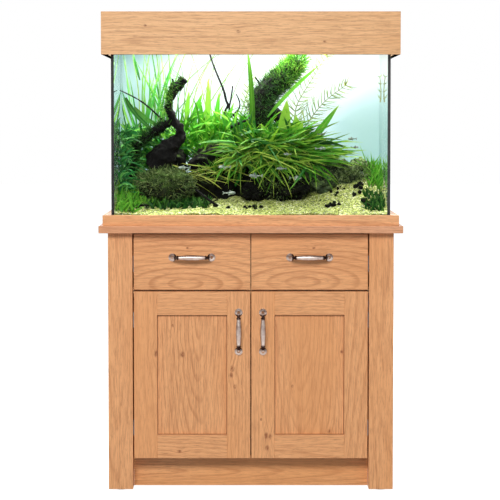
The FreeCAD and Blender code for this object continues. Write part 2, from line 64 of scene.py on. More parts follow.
def nothing_selected():
    if bpy.context.object and bpy.context.object.mode != "OBJECT":
        bpy.ops.object.mode_set(mode="OBJECT")
    bpy.ops.object.select_all(action="DESELECT")


def only(obj):
    nothing_selected()
    obj.select_set(True)
    bpy.context.view_layer.objects.active = obj


def copy_of(pattern):
    copy = pattern.copy()
    copy.data = pattern.data.copy()
    bpy.context.collection.objects.link(copy)
    return copy


def thrown_away(obj):
    only(obj)
    bpy.ops.object.delete()


def joined(pieces):
    """One object from several."""
    nothing_selected()
    for piece in pieces:
        piece.select_set(True)
    bpy.context.view_layer.objects.active = pieces[0]
    if len(pieces) > 1:
        bpy.ops.object.join()
    return bpy.context.view_layer.objects.active


def place_in_mesh(obj):
    """Moves the object's place, turn and scale into its mesh."""
    only(obj)
    bpy.ops.object.transform_apply(location=True, rotation=True, scale=True)


def finished(obj, name, finish, smooth=60.0, replaced=(), body=ROOT):
    """Names a piece, gives it its finish and the body that it moves with."""
    place_in_mesh(obj)
    obj.name = name
    obj.data.name = name
    obj.data.materials.clear()
    obj.data.materials.append(finish)
    if smooth:
        bpy.ops.object.shade_smooth_by_angle(angle=math.radians(smooth))
    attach(obj, body)
    if replaced:
        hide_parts(*replaced)
    return obj


def normals_out(obj):
    only(obj)
    bpy.ops.object.mode_set(mode="EDIT")
    bpy.ops.mesh.select_all(action="SELECT")
    bpy.ops.mesh.normals_make_consistent(inside=False)
    bpy.ops.object.mode_set(mode="OBJECT")


def applied(obj, kind, **settings):
    """Adds a modifier, sets it and applies it."""
    only(obj)
    modifier = obj.modifiers.new(kind.title(), kind)
    for key, value in settings.items():
        setattr(modifier, key, value)
    bpy.ops.object.modifier_apply(modifier=modifier.name)


def roughened(obj, name, size, strength, kind="CLOUDS"):
    """Pushes the surface in and out by a solid texture whose lumps have the given size."""
    lumps = bpy.data.textures.new(name, kind)
    lumps.noise_scale = size
    applied(obj, "DISPLACE", texture=lumps, strength=strength, mid_level=0.5)


# ---------------------------------------------------------------- shader tools

class Finish:
    """A material being wired, with one method for each kind of node it needs."""

    def __init__(self, name):
        self.material = bpy.data.materials.new(name)
        self.material.use_nodes = True
        self.tree = self.material.node_tree
        self.tree.nodes.clear()
        self.output = self.tree.nodes.new("ShaderNodeOutputMaterial")
        self.place = self.tree.nodes.new("ShaderNodeTexCoord").outputs["Object"]

    def put(self, socket, value):
        if hasattr(value, "links"):
            self.tree.links.new(value, socket)
        elif value is not None:
            socket.default_value = value

    def node(self, kind, **settings):
        made = self.tree.nodes.new("ShaderNode" + kind)
        for key, value in settings.items():
            setattr(made, key, value)
        return made

    def math(self, operation, first, second=0.0, third=None, clamp=False):
        made = self.node("Math", operation=operation, use_clamp=clamp)
        for socket, value in zip(made.inputs, (first, second, third)):
            self.put(socket, value)
        return made.outputs[0]

    def split(self, vector):
        made = self.node("SeparateXYZ")
        self.put(made.inputs[0], vector)
        return made.outputs

    def stretched(self, vector, scale, shift=(0, 0, 0)):
        made = self.node("Mapping")
        self.put(made.inputs["Vector"], vector)
        made.inputs["Scale"].default_value = scale
        made.inputs["Location"].default_value = shift
        return made.outputs[0]

    def noise(self, vector, scale, detail=2.0, roughness=0.5):
        made = self.node("TexNoise")
        self.put(made.inputs["Vector"], vector)
        made.inputs["Scale"].default_value = scale
        made.inputs["Detail"].default_value = detail
        made.inputs["Roughness"].default_value = roughness
        return made.outputs[0]

    def cells(self, vector, scale):
        made = self.node("TexVoronoi")
        self.put(made.inputs["Vector"], vector)
        made.inputs["Scale"].default_value = scale
        return made.outputs

    def band(self, value, low, high, first=0.0, last=1.0):
        """Value from low to high as first to last, with soft ends."""
        made = self.node("MapRange", interpolation_type="SMOOTHSTEP")
        self.put(made.inputs[0], value)
        for socket, number in zip(made.inputs[1:5], (low, high, first, last)):
            socket.default_value = number
        return made.outputs[0]

    def ramp(self, value, *stops):
        """Colour that runs through stops of (place, display colour)."""
        made = self.node("ValToRGB")
        self.put(made.inputs[0], value)
        points = made.color_ramp.elements
        while len(points) < len(stops):
            points.new(0.5)
        for point, (place, colour) in zip(points, stops):
            point.position = place
            point.color = linear(*colour)
        return made.outputs[0]

    def blend(self, first, second, factor):
        made = self.node("Mix", data_type="RGBA")
        for index, value in ((0, factor), (6, first), (7, second)):
            self.put(made.inputs[index], value)
        return made.outputs[2]

    def bump(self, height, strength, distance):
        made = self.node("Bump")
        self.put(made.inputs["Height"], height)
        made.inputs["Strength"].default_value = strength
        made.inputs["Distance"].default_value = distance
        return made.outputs[0]

    def surface(self, colour, roughness, normal=None, **sockets):
        made = self.node("BsdfPrincipled")
        self.put(made.inputs["Base Color"], colour)
        self.put(made.inputs["Roughness"], roughness)
        if normal is not None:
            self.put(made.inputs["Normal"], normal)
        for key, value in sockets.items():
            self.put(made.inputs[key.replace("_", " ")], value)
        return made.outputs[0]

    def mixed(self, first, second, factor):
        made = self.node("MixShader")
        for socket, value in zip(made.inputs, (factor, first, second)):
            self.put(socket, value)
        return made.outputs[0]

    def done(self, shader):
        self.tree.links.new(shader, self.output.inputs["Surface"])
        return self.material


def wear(node, finish):
    """Gives a CAD node its finish."""
    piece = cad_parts[node]
    if not piece.material_slots:
        piece.data.materials.append(finish)
    for held in piece.material_slots:
        held.link = "OBJECT"
        held.material = finish


# ---------------------------------------------------------------- oak

AXES = {"x": 0, "y": 1, "z": 2}


def oak(name, tone, along, across, heart, taper, ring, depth, wobble, contrast=1.0, knots=(),
        rebate=None, painted_under=False):
    """
    Lacquered oak sawn near the heart of a log, so that its rings run out as arches.
    along and across name the board's grain and width; heart is the point where the arches start;
    taper leans the log, depth is how far the heart lies behind the face, ring is the width of a
    year, and each knot is (place across, place along, radius), all in the object's own frame.
    rebate is the sunk rectangle (across low, high, along low, high) given a painted shade, a thin dark line
    just inside its border where the panel meets its frame, and painted_under gives the faces that look down a
    near-black painted shade.
    """
    wood = Finish(name)
    parts = wood.split(wood.place)
    third = ({"x", "y", "z"} - {along, across}).pop()

    def off(axis, place):
        return wood.math("SUBTRACT", parts[AXES[axis]], place)

    def far(first, second):
        """Distance whose two sides are given."""
        squares = [wood.math("MULTIPLY", side, side) for side in (first, second)]
        return wood.math("SQRT", wood.math("ADD", *squares))

    def drawn(along_scale, across_scale, base=wood.place):
        scale = [across_scale] * 3
        scale[AXES[along]] = along_scale
        return wood.stretched(base, scale, tuple(7.0 * part for part in heart))

    def tinted(red, green, blue):
        return (tone[0] * red, tone[1] * green, tone[2] * blue, 1.0)

    swirl = 0.0
    dark_knot = 0.0
    for knot_across, knot_along, size in knots:
        apart = far(off(across, knot_across), wood.math("MULTIPLY", off(along, knot_along), 0.7))
        halo = wood.band(apart, 0.0, size * 6.0, 1.0, 0.0)
        swirl = wood.math("MULTIPLY_ADD", halo, size * 1.1, swirl)
        dark_knot = wood.math("MAXIMUM", dark_knot, wood.band(apart, size * 0.35, size * 1.6, 1.0, 0.0))

    lean = wood.math("MULTIPLY_ADD", off(along, heart[AXES[along]]), taper, depth)
    back = wood.math("ADD", off(third, heart[AXES[third]]), lean)
    radius = far(off(across, heart[AXES[across]]), back)
    wander = wood.math("SUBTRACT", wood.noise(drawn(1.6, 7.0), 1.0, 2.0), 0.5)
    ripple = wood.math("SUBTRACT", wood.noise(drawn(9.0, 30.0), 1.0, 1.0), 0.5)
    radius = wood.math("MULTIPLY_ADD", wander, wobble * 2.4, radius)
    radius = wood.math("MULTIPLY_ADD", ripple, wobble * 0.35, radius)
    radius = wood.math("ADD", radius, swirl)
    turn = wood.math("FRACT", wood.math("DIVIDE", radius, ring))
    late = wood.math("SUBTRACT", wood.band(turn, 0.50, 0.86), wood.band(turn, 0.87, 1.0))
    strength = wood.band(wood.noise(drawn(0.9, 11.0), 1.3, 2.0), 0.30, 0.62, 0.25, 1.0)
    late = wood.math("MULTIPLY", late, strength)

    bent = wood.math("MULTIPLY_ADD", swirl, 0.8, parts[AXES[across]])
    bent = wood.math("MULTIPLY_ADD", wander, wobble * 3.0, bent)
    bent = wood.math("MULTIPLY_ADD", ripple, wobble * 0.20, bent)
    flow = wood.node("CombineXYZ")
    for axis in AXES.values():
        wood.put(flow.inputs[axis], bent if axis == AXES[across] else parts[axis])
    flow = flow.outputs[0]
    pores = wood.noise(drawn(42.0, 620.0, flow), 1.0, 2.0, 0.65)
    hair = wood.noise(drawn(22.0, 520.0, flow), 1.0, 1.0, 0.6)
    streak = wood.noise(drawn(5.0, 130.0, flow), 1.0, 2.0, 0.6)
    patch = wood.noise(drawn(1.5, 6.0), 1.0, 2.0)

    pale = tinted(1.24, 1.27, 1.25)
    deep = tinted(0.74, 0.61, 0.50)
    colour = wood.blend(pale, deep, wood.band(streak, 0.36, 0.70, 0.15, 0.50 * contrast))
    colour = wood.blend(colour, deep, wood.math("MULTIPLY", late, 0.72 * contrast, clamp=True))
    colour = wood.blend(colour, shade_of(deep, 0.80), wood.band(hair, 0.50, 0.64, 0.0, 0.42))
    colour = wood.blend(colour, pale, wood.band(hair, 0.46, 0.34, 0.0, 0.42))
    fine = wood.band(pores, 0.54, 0.68, 0.0, 0.45)
    colour = wood.blend(colour, shade_of(deep, 0.62), fine)
    colour = wood.blend(colour, tinted(1.04, 0.91, 0.72), wood.band(patch, 0.44, 0.66, 0.0, 0.45))
    if knots:
        cracked = wood.band(wood.noise(drawn(120.0, 240.0), 1.0, 2.0), 0.35, 0.60, 0.35, 0.90)
        colour = wood.blend(colour, tinted(0.34, 0.20, 0.13), wood.math("MULTIPLY", dark_knot, cracked))
    if rebate:
        inset = 1.0
        for axis, border, way in zip((across, across, along, along), rebate, (1.0, -1.0, 1.0, -1.0)):
            inset = wood.math("MINIMUM", inset, wood.math("MULTIPLY", off(axis, border), way))
        # Painted shade: a thin dark line just inside the rebate's border, where the sunk panel meets its
        # frame.
        colour = wood.blend(colour, shade_of(deep, 0.35), wood.band(inset, 0.0008, 0.0032, 0.85, 0.0))
    relief = wood.math("MULTIPLY_ADD", fine, -1.0, wood.math("MULTIPLY", late, 0.35))
    sheen = wood.band(streak, 0.3, 0.7, 0.42, 0.54)
    shader = wood.surface(colour, sheen, wood.bump(relief, 0.35, 0.0004), Specular_IOR_Level=0.38)
    if painted_under:
        # Painted shade: the faces that look down, under the hood boards, are made near black.
        facing = wood.split(wood.node("NewGeometry").outputs["Normal"])[2]
        paint = wood.blend(linear(12, 11, 11), linear(24, 21, 20), patch)
        under_shade = wood.surface(paint, 1.0, Specular_IOR_Level=0.0)
        shader = wood.mixed(shader, under_shade, wood.band(facing, -0.80, -0.95))
    return wood.done(shader)


RAIL_HEIGHT = 0.068
CABINET_TONE = linear(222, 161, 111)
STEP_TONE = linear(211, 154, 117)
SURROUND_TONE = linear(223, 165, 117)
HOOD_TONE = linear(216, 168, 121)
# Painted light: the plinth's oak is lighter than the cabinet's, to offset the shade under the doors.
PLINTH_LIT_TONE = linear(226, 163, 109)
INSIDE_TONE = linear(222, 186, 142)
KNOTS = {
    "left_door_panel": ((-0.197, 0.392, 0.0055), (-0.225, 0.476, 0.003), (-0.058, 0.361, 0.004)),
    "right_door_panel": ((0.262, 0.400, 0.0035), (0.226, 0.169, 0.004), (0.120, 0.300, 0.003)),
    "left_door_stiles": ((-0.272, 0.395, 0.006), (-0.053, 0.352, 0.006), (-0.056, 0.333, 0.005),
                         (-0.046, 0.300, 0.004)),
    "right_door_stiles": ((0.045, 0.158, 0.006), (0.056, 0.155, 0.005), (0.047, 0.122, 0.005),
                          (0.030, 0.205, 0.003)),
    "left_door_rails": ((0.112, -0.206, 0.004), (0.169, -0.232, 0.003)),
    "hood_front": ((1.318, -0.035, 0.004), (1.29, 0.21, 0.003), (1.335, -0.30, 0.003)),
}


def board(node, tone, along, across, heart, **figure):
    """Gives one board an oak of its own, with the knots that KNOTS lists for it."""
    figure.setdefault("knots", KNOTS.get(node, ()))
    wear(node, oak("Oak " + node.replace("_", " "), tone, along, across, heart, **figure))


def dress_cabinet():
    """A finish of its own for each board, with its grain the way that the joiner laid it."""
    for side, sign in SIDES:
        for place in ("front", "rear"):
            low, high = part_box(f"{side}_{place}_post")
            heart = ((low[0] + high[0]) / 2 + 0.012 * sign, high[1] + 0.03, 0.30 + 0.12 * sign)
            board(f"{side}_{place}_post", CABINET_TONE, "z", "x", heart, taper=0.035, ring=0.0085,
                  depth=0.035, wobble=0.010, contrast=0.75)
        low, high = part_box(f"{side}_side_panel")
        outside = high[0] if sign > 0 else low[0]
        board(f"{side}_side_panel", CABINET_TONE, "z", "y", (outside, 0.01, 0.15), taper=-0.08 * sign,
              ring=0.012, depth=-0.03 * sign, wobble=0.016)
        low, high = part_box(f"{side}_drawer_front")
        centre = (low[0] + high[0]) / 2
        board(f"{side}_drawer_front", CABINET_TONE, "x", "z", (centre - 0.014, low[1], 0.600 + 0.003 * sign),
              taper=0.30, ring=0.0165, depth=0.002, wobble=0.0065, contrast=1.15,
              knots=((0.700, centre + 0.012 * sign, 0.003),))
        low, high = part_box(f"{side}_door_panel")
        centre = (low[0] + high[0]) / 2
        rails_low, rails_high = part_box(f"{side}_door_rails")
        opening = (rails_low[0], rails_high[0], rails_low[2] + RAIL_HEIGHT, rails_high[2] - RAIL_HEIGHT)
        board(f"{side}_door_panel", CABINET_TONE, "z", "x", (centre - 0.02 * sign, low[1], 0.53),
              taper=0.17, ring=0.0105, depth=0.004, wobble=0.014, contrast=1.05, rebate=opening)
        low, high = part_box(f"{side}_door_stiles")
        board(f"{side}_door_stiles", CABINET_TONE, "z", "x", (centre + 0.19 * sign, low[1], 0.2),
              taper=0.05, ring=0.0095, depth=0.10, wobble=0.012, contrast=0.8)
        board(f"{side}_door_rails", CABINET_TONE, "x", "z", (centre, low[1], 0.02 + 0.05 * sign),
              taper=0.05, ring=0.0095, depth=0.08, wobble=0.012, contrast=0.8)

    board("plinth", PLINTH_LIT_TONE, "x", "z", (0.08, -0.17, 0.045), taper=0.05, ring=0.008, depth=0.006,
          wobble=0.010)
    board("cabinet_top", STEP_TONE, "x", "y", (0.1, -0.1, 0.70), taper=0.05, ring=0.0085, depth=0.05,
          wobble=0.014, contrast=0.9)
    board("tank_surround", SURROUND_TONE, "x", "y", (-0.1, 0.05, 0.74), taper=0.04, ring=0.0085,
          depth=0.05, wobble=0.014, contrast=0.8)
    for node, along, across, heart, taper, depth, wobble in (
            ("hood_front", "x", "z", (-0.05, -0.21, 1.29), 0.05, 0.01, 0.014),
            ("hood_back", "x", "z", (0.1, 0.22, 1.31), 0.05, -0.01, 0.014),
            ("hood_sides", "y", "z", (-0.42, 0.05, 1.31), 0.05, 0.01, 0.014),
            ("hood_top", "x", "y", (0.1, 0.1, 1.37), 0.06, 0.01, 0.016),
            ("hood_lid", "x", "y", (-0.15, -0.12, 1.37), 0.06, 0.01, 0.016)):
        board(node, HOOD_TONE, along, across, heart, taper=taper, ring=0.012, depth=depth, wobble=wobble,
              contrast=0.7, painted_under=across == "z")
    inside = oak("Plain inner board", INSIDE_TONE, "x", "y", (0.0, 0.4, 0.3), taper=0.03,
                 ring=0.009, depth=0.2, wobble=0.012, contrast=0.5)
    for node in ("base_panel", "drawer_deck", "drawer_divider", "back_panel", "hood_battens",
                 "left_drawer_floor", "right_drawer_floor", "left_drawer_walls", "right_drawer_walls"):
        wear(node, inside)


# ---------------------------------------------------------------- metal, glass and small parts

def pewter():
    """Old pewter, paler where wear has polished it, with painted shade, nearly black, on the collars where
    the necks meet the grip.
    """
    metal = Finish("Antique pewter")
    cloud = metal.noise(metal.place, 70.0, 3.0, 0.6)
    grain = metal.noise(metal.place, 900.0)
    wear_and_shade = metal.node("Attribute", attribute_name="wear_and_shade").outputs["Fac"]
    rubbed_and_shaded = metal.math("MULTIPLY_ADD", metal.math("SUBTRACT", cloud, 0.5), 0.5, wear_and_shade, clamp=True)
    # The ramp's pale end is wear; its dark end is painted shade on the collars.
    colour = metal.ramp(rubbed_and_shaded, (0.0, (40, 24, 22)), (0.5, (158, 138, 128)), (1.0, (240, 234, 228)))
    roughness = metal.band(cloud, 0.3, 0.7, 0.30, 0.42)
    return metal.done(metal.surface(colour, roughness, metal.bump(grain, 0.12, 0.0003), Metallic=1.0))


def zinc():
    metal = Finish("Zinc plated steel")
    cloud = metal.noise(metal.place, 90.0, 3.0)
    colour = metal.blend(linear(160, 162, 165), linear(205, 207, 210), cloud)
    roughness = metal.band(cloud, 0.3, 0.7, 0.28, 0.45)
    return metal.done(metal.surface(colour, roughness, metal.bump(cloud, 0.1, 0.0003), Metallic=1.0))


def anodised():
    metal = Finish("Anodised aluminium")
    brushed = metal.noise(metal.stretched(metal.place, (8, 700, 700)), 1.0)
    colour = metal.blend(linear(178, 180, 184), linear(206, 208, 211), brushed)
    roughness = metal.band(brushed, 0.3, 0.7, 0.3, 0.42)
    return metal.done(metal.surface(colour, roughness, metal.bump(brushed, 0.1, 0.0002), Metallic=1.0))


def rubbery(name, colour, scale):
    stuff = Finish(name)
    grain = stuff.noise(stuff.place, scale, 3.0)
    mixed = stuff.blend(colour, shade_of(colour, 1.8), grain)
    roughness = stuff.band(grain, 0.3, 0.7, 0.4, 0.6)
    return stuff.done(stuff.surface(mixed, roughness, stuff.bump(grain, 0.2, 0.0004)))


def clear_sheet(name, clear_tint, shine_tint, roughness, share, rippled=False):
    """Lets light straight through, and mirrors a growing share of it towards the edgeways view."""
    sheet = Finish(name)
    clear = sheet.node("BsdfTransparent")
    clear.inputs["Color"].default_value = clear_tint
    shine = sheet.node("BsdfGlossy")
    shine.inputs["Roughness"].default_value = roughness
    shine.inputs["Color"].default_value = shine_tint
    if rippled:
        sheet.put(shine.inputs["Normal"], sheet.bump(sheet.noise(sheet.place, 22.0), 0.3, 0.004))
    slant = sheet.node("LayerWeight")
    slant.inputs["Blend"].default_value = 0.5
    mirrored = sheet.band(slant.outputs["Facing"], *share)
    return sheet.done(sheet.mixed(clear.outputs[0], shine.outputs[0], mirrored))


def lit_background():
    """Frosted film that glows white at the top and middle, and pale aqua towards both lower corners."""
    film = Finish("Frosted background film")
    parts = film.split(film.place)
    drift = film.math("MULTIPLY_ADD", film.noise(film.place, 4.0), 0.12, parts[2])
    low = film.band(drift, 1.06, 1.31, 1.0, 0.0)
    right = film.band(parts[0], 0.08, 0.36)
    left = film.band(parts[0], -0.12, -0.40)
    aqua = film.math("MULTIPLY", low, film.math("MAXIMUM", right, 0.35))
    share = film.math("MAXIMUM", aqua, film.math("MULTIPLY", left, 0.80))
    colour = film.ramp(share, (0.0, (254, 255, 255)), (0.35, (212, 234, 239)), (0.7, (152, 194, 196)),
                       (1.0, (124, 174, 170)))
    body = shade_of(linear(200, 220, 220), 0.25)
    return film.done(film.surface(body, 0.6, Emission_Color=colour, Emission_Strength=0.90))


def lamp_glow():
    opal = Finish("Opal lamp diffuser")
    colour = opal.blend(linear(250, 252, 255), linear(238, 244, 252), opal.noise(opal.place, 40.0))
    return opal.done(opal.surface(colour, 0.5, Emission_Color=colour, Emission_Strength=3.0))


def dress_hardware():
    steel = zinc()
    glass = clear_sheet("Clear tank glass", (0.990, 0.998, 0.994, 1.0), (0.97, 1.0, 0.985, 1.0), 0.0,
                        (0.55, 0.96, 0.0, 0.85))
    for node in ("hinge_arms", "left_door_hinge_cups", "right_door_hinge_cups", "cabinet_runners",
                 "left_drawer_slides", "right_drawer_slides", "lid_hinge_leaf", "hood_hinge_leaf",
                 "lid_hinge_pin"):
        wear(node, steel)
    for node in ("base_glass", "front_glass", "back_glass", "left_glass", "right_glass", "glass_braces"):
        wear(node, glass)
    wear("silicone_seams", rubbery("Black silicone", linear(14, 14, 15), 220.0))
    wear("foam_mat", rubbery("Foam mat", linear(30, 30, 32), 400.0))
    wear("foot_glides", rubbery("Brown glide plastic", linear(74, 58, 46), 150.0))
    wear("background_film", lit_background())
    wear("light_housing", anodised())
    wear("light_diffuser", lamp_glow())


def turned(profile, steps=32):
    """Turned shape about Z from (height, radius) pairs: a disc drawn up and scaled ring by ring."""
    nothing_selected()
    height, radius = profile[0]
    bpy.ops.mesh.primitive_circle_add(vertices=steps, radius=radius, fill_type="NGON",
                                      location=(0, 0, height))
    shape = bpy.context.object
    place_in_mesh(shape)
    bpy.ops.object.mode_set(mode="EDIT")
    bpy.ops.mesh.select_all(action="SELECT")
    for next_height, next_radius in profile[1:]:
        bpy.ops.mesh.extrude_region_move(TRANSFORM_OT_translate={"value": (0, 0, next_height - height)})
        bpy.ops.transform.resize(value=(next_radius / radius, next_radius / radius, 1),
                                 center_override=(0, 0, next_height))
        height, radius = next_height, next_radius
    bpy.ops.object.mode_set(mode="OBJECT")
    normals_out(shape)
    return shape


def bent_bar(points, radii, sides=3):
    """Round bar along a smooth line, thicker or thinner from point to point."""
    nothing_selected()
    line = bpy.data.curves.new("bar", "CURVE")
    line.dimensions = "3D"
    line.bevel_depth = 1.0
    line.bevel_resolution = sides
    line.resolution_u = 6
    line.use_fill_caps = True
    spline = line.splines.new("NURBS")
    spline.points.add(len(points) - 1)
    for held, point, radius in zip(spline.points, points, radii):
        held.co = (*point, 1.0)
        held.radius = radius
    spline.order_u = 3
    spline.use_endpoint_u = True
    bar = bpy.data.objects.new("bar", line)
    bpy.context.collection.objects.link(bar)
    only(bar)
    bpy.ops.object.convert(target="MESH")
    bar = bpy.context.object
    normals_out(bar)
    return bar


# ---------------------------------------------------------------- bow handles

HANDLE_HALF_SPAN = 0.056
HANDLE_REACH = 0.025
FRONT_BOARD = 0.022
HALF_GRIP = 0.0405
GRIP_WORN_TO = 0.0375
COLLAR_SHADE_TO = 0.0505
GRIP_WEAR = 0.60
ROSETTE_WEAR = 0.62


def wear_and_shade_by_place(obj):
    """Marks the handle's wear, palest on the rosettes and elbows and a little less on the grip, and painted
    shade, nearly black, on the collars where the necks meet the grip.
    """
    values = []
    for vertex in obj.data.vertices:
        along = abs(vertex.co.x)
        if along < GRIP_WORN_TO:
            values.append(GRIP_WEAR)
        elif along < COLLAR_SHADE_TO:
            # Painted shade: the collars, where the necks meet the grip, are set nearly black.
            values.append(0.0)
        else:
            values.append(ROSETTE_WEAR)
    obj.data.attributes.new("wear_and_shade", "FLOAT", "POINT").data.foreach_set("value", values)


def bow_handle():
    """Handle along X on the plane y = 0: rosettes, curved necks, collars, a swelling grip and screws."""
    upright = math.radians(90)
    pieces = []
    for sign in (-1, 1):
        foot = turned([(0.0, 0.0112), (0.0012, 0.0115), (0.0020, 0.0112), (0.0024, 0.0102), (0.0030, 0.0098),
                       (0.0042, 0.0086), (0.0052, 0.0066), (0.0062, 0.0052)])
        foot.rotation_euler = (upright, 0, 0)
        foot.location = (sign * HANDLE_HALF_SPAN, 0, 0)
        bend = ((0.0560, 0.004), (0.0562, 0.012), (0.0545, 0.0195), (0.0488, 0.0240), (0.0400, 0.0250))
        neck = bent_bar([(sign * x, -y, 0) for x, y in bend],
                        (0.0054, 0.0045, 0.0041, 0.0043, 0.0048), sides=4)
        collar = turned([(0.0, 0.0046), (0.0006, 0.0060), (0.0020, 0.0066), (0.0034, 0.0060),
                         (0.0040, 0.0048)], 24)
        collar.rotation_euler = (0, upright, 0)
        collar.location = (sign * HALF_GRIP - 0.002, -HANDLE_REACH, 0)
        screw = turned([(0.0, 0.0020), (FRONT_BOARD - 0.001, 0.0020), (FRONT_BOARD, 0.0040),
                        (FRONT_BOARD + 0.0012, 0.0039), (FRONT_BOARD + 0.0021, 0.0028)], 16)
        screw.rotation_euler = (-upright, 0, 0)
        screw.location = (sign * HANDLE_HALF_SPAN, 0, 0)
        pieces += [foot, neck, collar, screw]
    steps = 14
    shares = [index / steps for index in range(steps + 1)]
    grip = turned([(-HALF_GRIP + 2 * HALF_GRIP * share, 0.0052 + 0.0026 * math.sin(math.pi * share) ** 1.2)
                   for share in shares], 28)
    grip.rotation_euler = (0, upright, 0)
    grip.location = (0, -HANDLE_REACH, 0)
    pieces.append(grip)
    for piece in pieces:
        place_in_mesh(piece)
    handle = joined(pieces)
    wear_and_shade_by_place(handle)
    return handle


def make_handles():
    finish = pewter()
    pattern = bow_handle()
    for side, _ in SIDES:
        for kind, turn in (("drawer", 0.0), ("door", math.radians(90))):
            node = f"{side}_{kind}_handle"
            low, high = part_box(node)
            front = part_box(f"{side}_drawer_front")[0][1]
            handle = copy_of(pattern)
            handle.rotation_euler = (0, turn, 0)
            handle.location = ((low[0] + high[0]) / 2, front, (low[2] + high[2]) / 2)
            finished(handle, f"{side}_{kind}_bow_handle", finish, 35.0, (node,), f"{side}_{kind}")
    thrown_away(pattern)


# ---------------------------------------------------------------- leaves

# Leaves are kept within the panes and under the bracing glass.
LEAVES_LOW = (-0.3895, -0.1895, 0.779)
LEAVES_HIGH = (0.3895, 0.1895, 1.2804)
LEAF_FACING = np.array((0.0, -1.0, 0.25))
LEAF_FOLD = 0.25
LEAF_THICKNESS = 0.00025
dice = np.random.default_rng(7)
blanks = {}


def unit(vectors):
    return vectors / np.maximum(np.linalg.norm(vectors, axis=-1, keepdims=True), 1e-9)


def leaf_blank(rings):
    """Flat four-sided blank, one unit long along Y, from which every leaf is bent. Returns its mesh data."""
    nothing_selected()
    bpy.ops.mesh.primitive_circle_add(vertices=4, radius=1.0, fill_type="NGON",
                                      rotation=(math.radians(-90), 0, 0))
    blank = bpy.context.object
    place_in_mesh(blank)
    bpy.ops.object.mode_set(mode="EDIT")
    bpy.ops.mesh.select_all(action="SELECT")
    for _ in range(rings - 1):
        bpy.ops.mesh.extrude_region_move(TRANSFORM_OT_translate={"value": (0, 1.0 / (rings - 1), 0)})
    bpy.ops.object.mode_set(mode="OBJECT")
    normals_out(blank)
    corners = np.array([tuple(vertex.co) for vertex in blank.data.vertices])
    faces = [tuple(face.vertices) for face in blank.data.polygons]
    bpy.ops.object.delete()
    return corners, faces


def pointed(share):
    return np.sin(np.pi * np.clip(share, 0.0, 1.0) ** 0.75) ** 0.8 * 0.98 + 0.02


def strap(share):
    return np.minimum(1.0, 0.45 + 2.5 * share) * (1.0 - np.clip(share, 0.0, 1.0) ** 5) * 0.98 + 0.02


def needle(share):
    return (1.0 - np.clip(share, 0.0, 1.0)) ** 0.6 * 0.9 + 0.05


def grow(name, finish, roots, heads, lengths, widths, bends, shape, rings, twist, replaced=()):
    """
    One piece made of many leaves: each starts at its root, heads off along its head and
    bends by its bend, all arrays with a row for each leaf. twist is how unevenly they face.
    """
    if rings not in blanks:
        blanks[rings] = leaf_blank(rings)
    corners, faces = blanks[rings]
    count = len(roots)
    size = len(corners)
    share = corners[:, 1]
    heads = unit(heads)
    lengths = np.broadcast_to(lengths, (count,))
    widths = np.broadcast_to(widths, (count,))
    look = unit(LEAF_FACING + dice.normal(0.0, twist, (count, 3)))
    middle = heads[:, None] * share[None, :, None] + bends[:, None] * (share ** 2)[None, :, None]
    along = unit(heads[:, None] + 2.0 * bends[:, None] * share[None, :, None])
    side = unit(np.cross(along, look[:, None]))
    face = np.cross(side, along)
    half = widths[:, None] / 2 * shape(share)[None, :]
    line = roots[:, None] + middle * lengths[:, None, None]
    across = corners[:, 0][None, :, None] * half[..., None] * side
    thick = (corners[:, 2][None, :] * (LEAF_THICKNESS + 0.10 * half))[..., None] * face
    sunk = (np.abs(corners[:, 0])[None, :] * half * LEAF_FOLD)[..., None] * face
    points = np.clip((line + across + thick + sunk).reshape(-1, 3), LEAVES_LOW, LEAVES_HIGH)

    mesh = bpy.data.meshes.new(name)
    every = [tuple(corner + index * size for corner in held) for index in range(count) for held in faces]
    mesh.from_pydata(points, [], every)
    tint = np.repeat(dice.uniform(0.0, 1.0, count), size).astype(np.float32)
    mesh.attributes.new("tint", "FLOAT", "POINT").data.foreach_set("value", tint)
    owner = np.empty(len(mesh.loops), np.int32)
    mesh.loops.foreach_get("vertex_index", owner)
    chart = np.column_stack([(corners[:, 0] + 1.0) / 2.0, share])[owner % size]
    mesh.uv_layers.new(name="leaf").data.foreach_set("uv", chart.astype(np.float32).ravel())
    piece = bpy.data.objects.new(name, mesh)
    bpy.context.collection.objects.link(piece)
    return finished(piece, name, finish, 60.0, replaced)


def around(middle, deviation):
    """Random numbers about a middle, one for each leaf."""
    return lambda count: dice.normal(middle, deviation, count)


def between(low, high):
    return lambda count: dice.uniform(low, high, count)


def columns(draws, count):
    """A row of x, y and z for each leaf, each drawn or the same for all."""
    return np.column_stack([draw(count) if callable(draw) else np.full(count, float(draw)) for draw in draws])


def tuft(name, finish, count, low, high, heads, bends, lengths, widths, shape=pointed, rings=7, twist=0.7):
    """Leaves that root anywhere in the box from low to high, lengths and widths between two values."""
    roots = dice.uniform(low, high, (count, 3))
    heads = columns(heads, count)
    bends = columns(bends, count)
    lengths = dice.uniform(*lengths, count)
    widths = dice.uniform(*widths, count)
    return grow(name, finish, roots, heads, lengths, widths, bends, shape, rings, twist)


def placed_leaves(name, finish, leaves, shape, rings, twist=0.15):
    """Leaves set one by one, each as (root, head, bend, length, width)."""
    roots, heads, bends, lengths, widths = (np.array(column) for column in zip(*leaves))
    return grow(name, finish, roots, heads, lengths, widths, bends, shape, rings, twist)


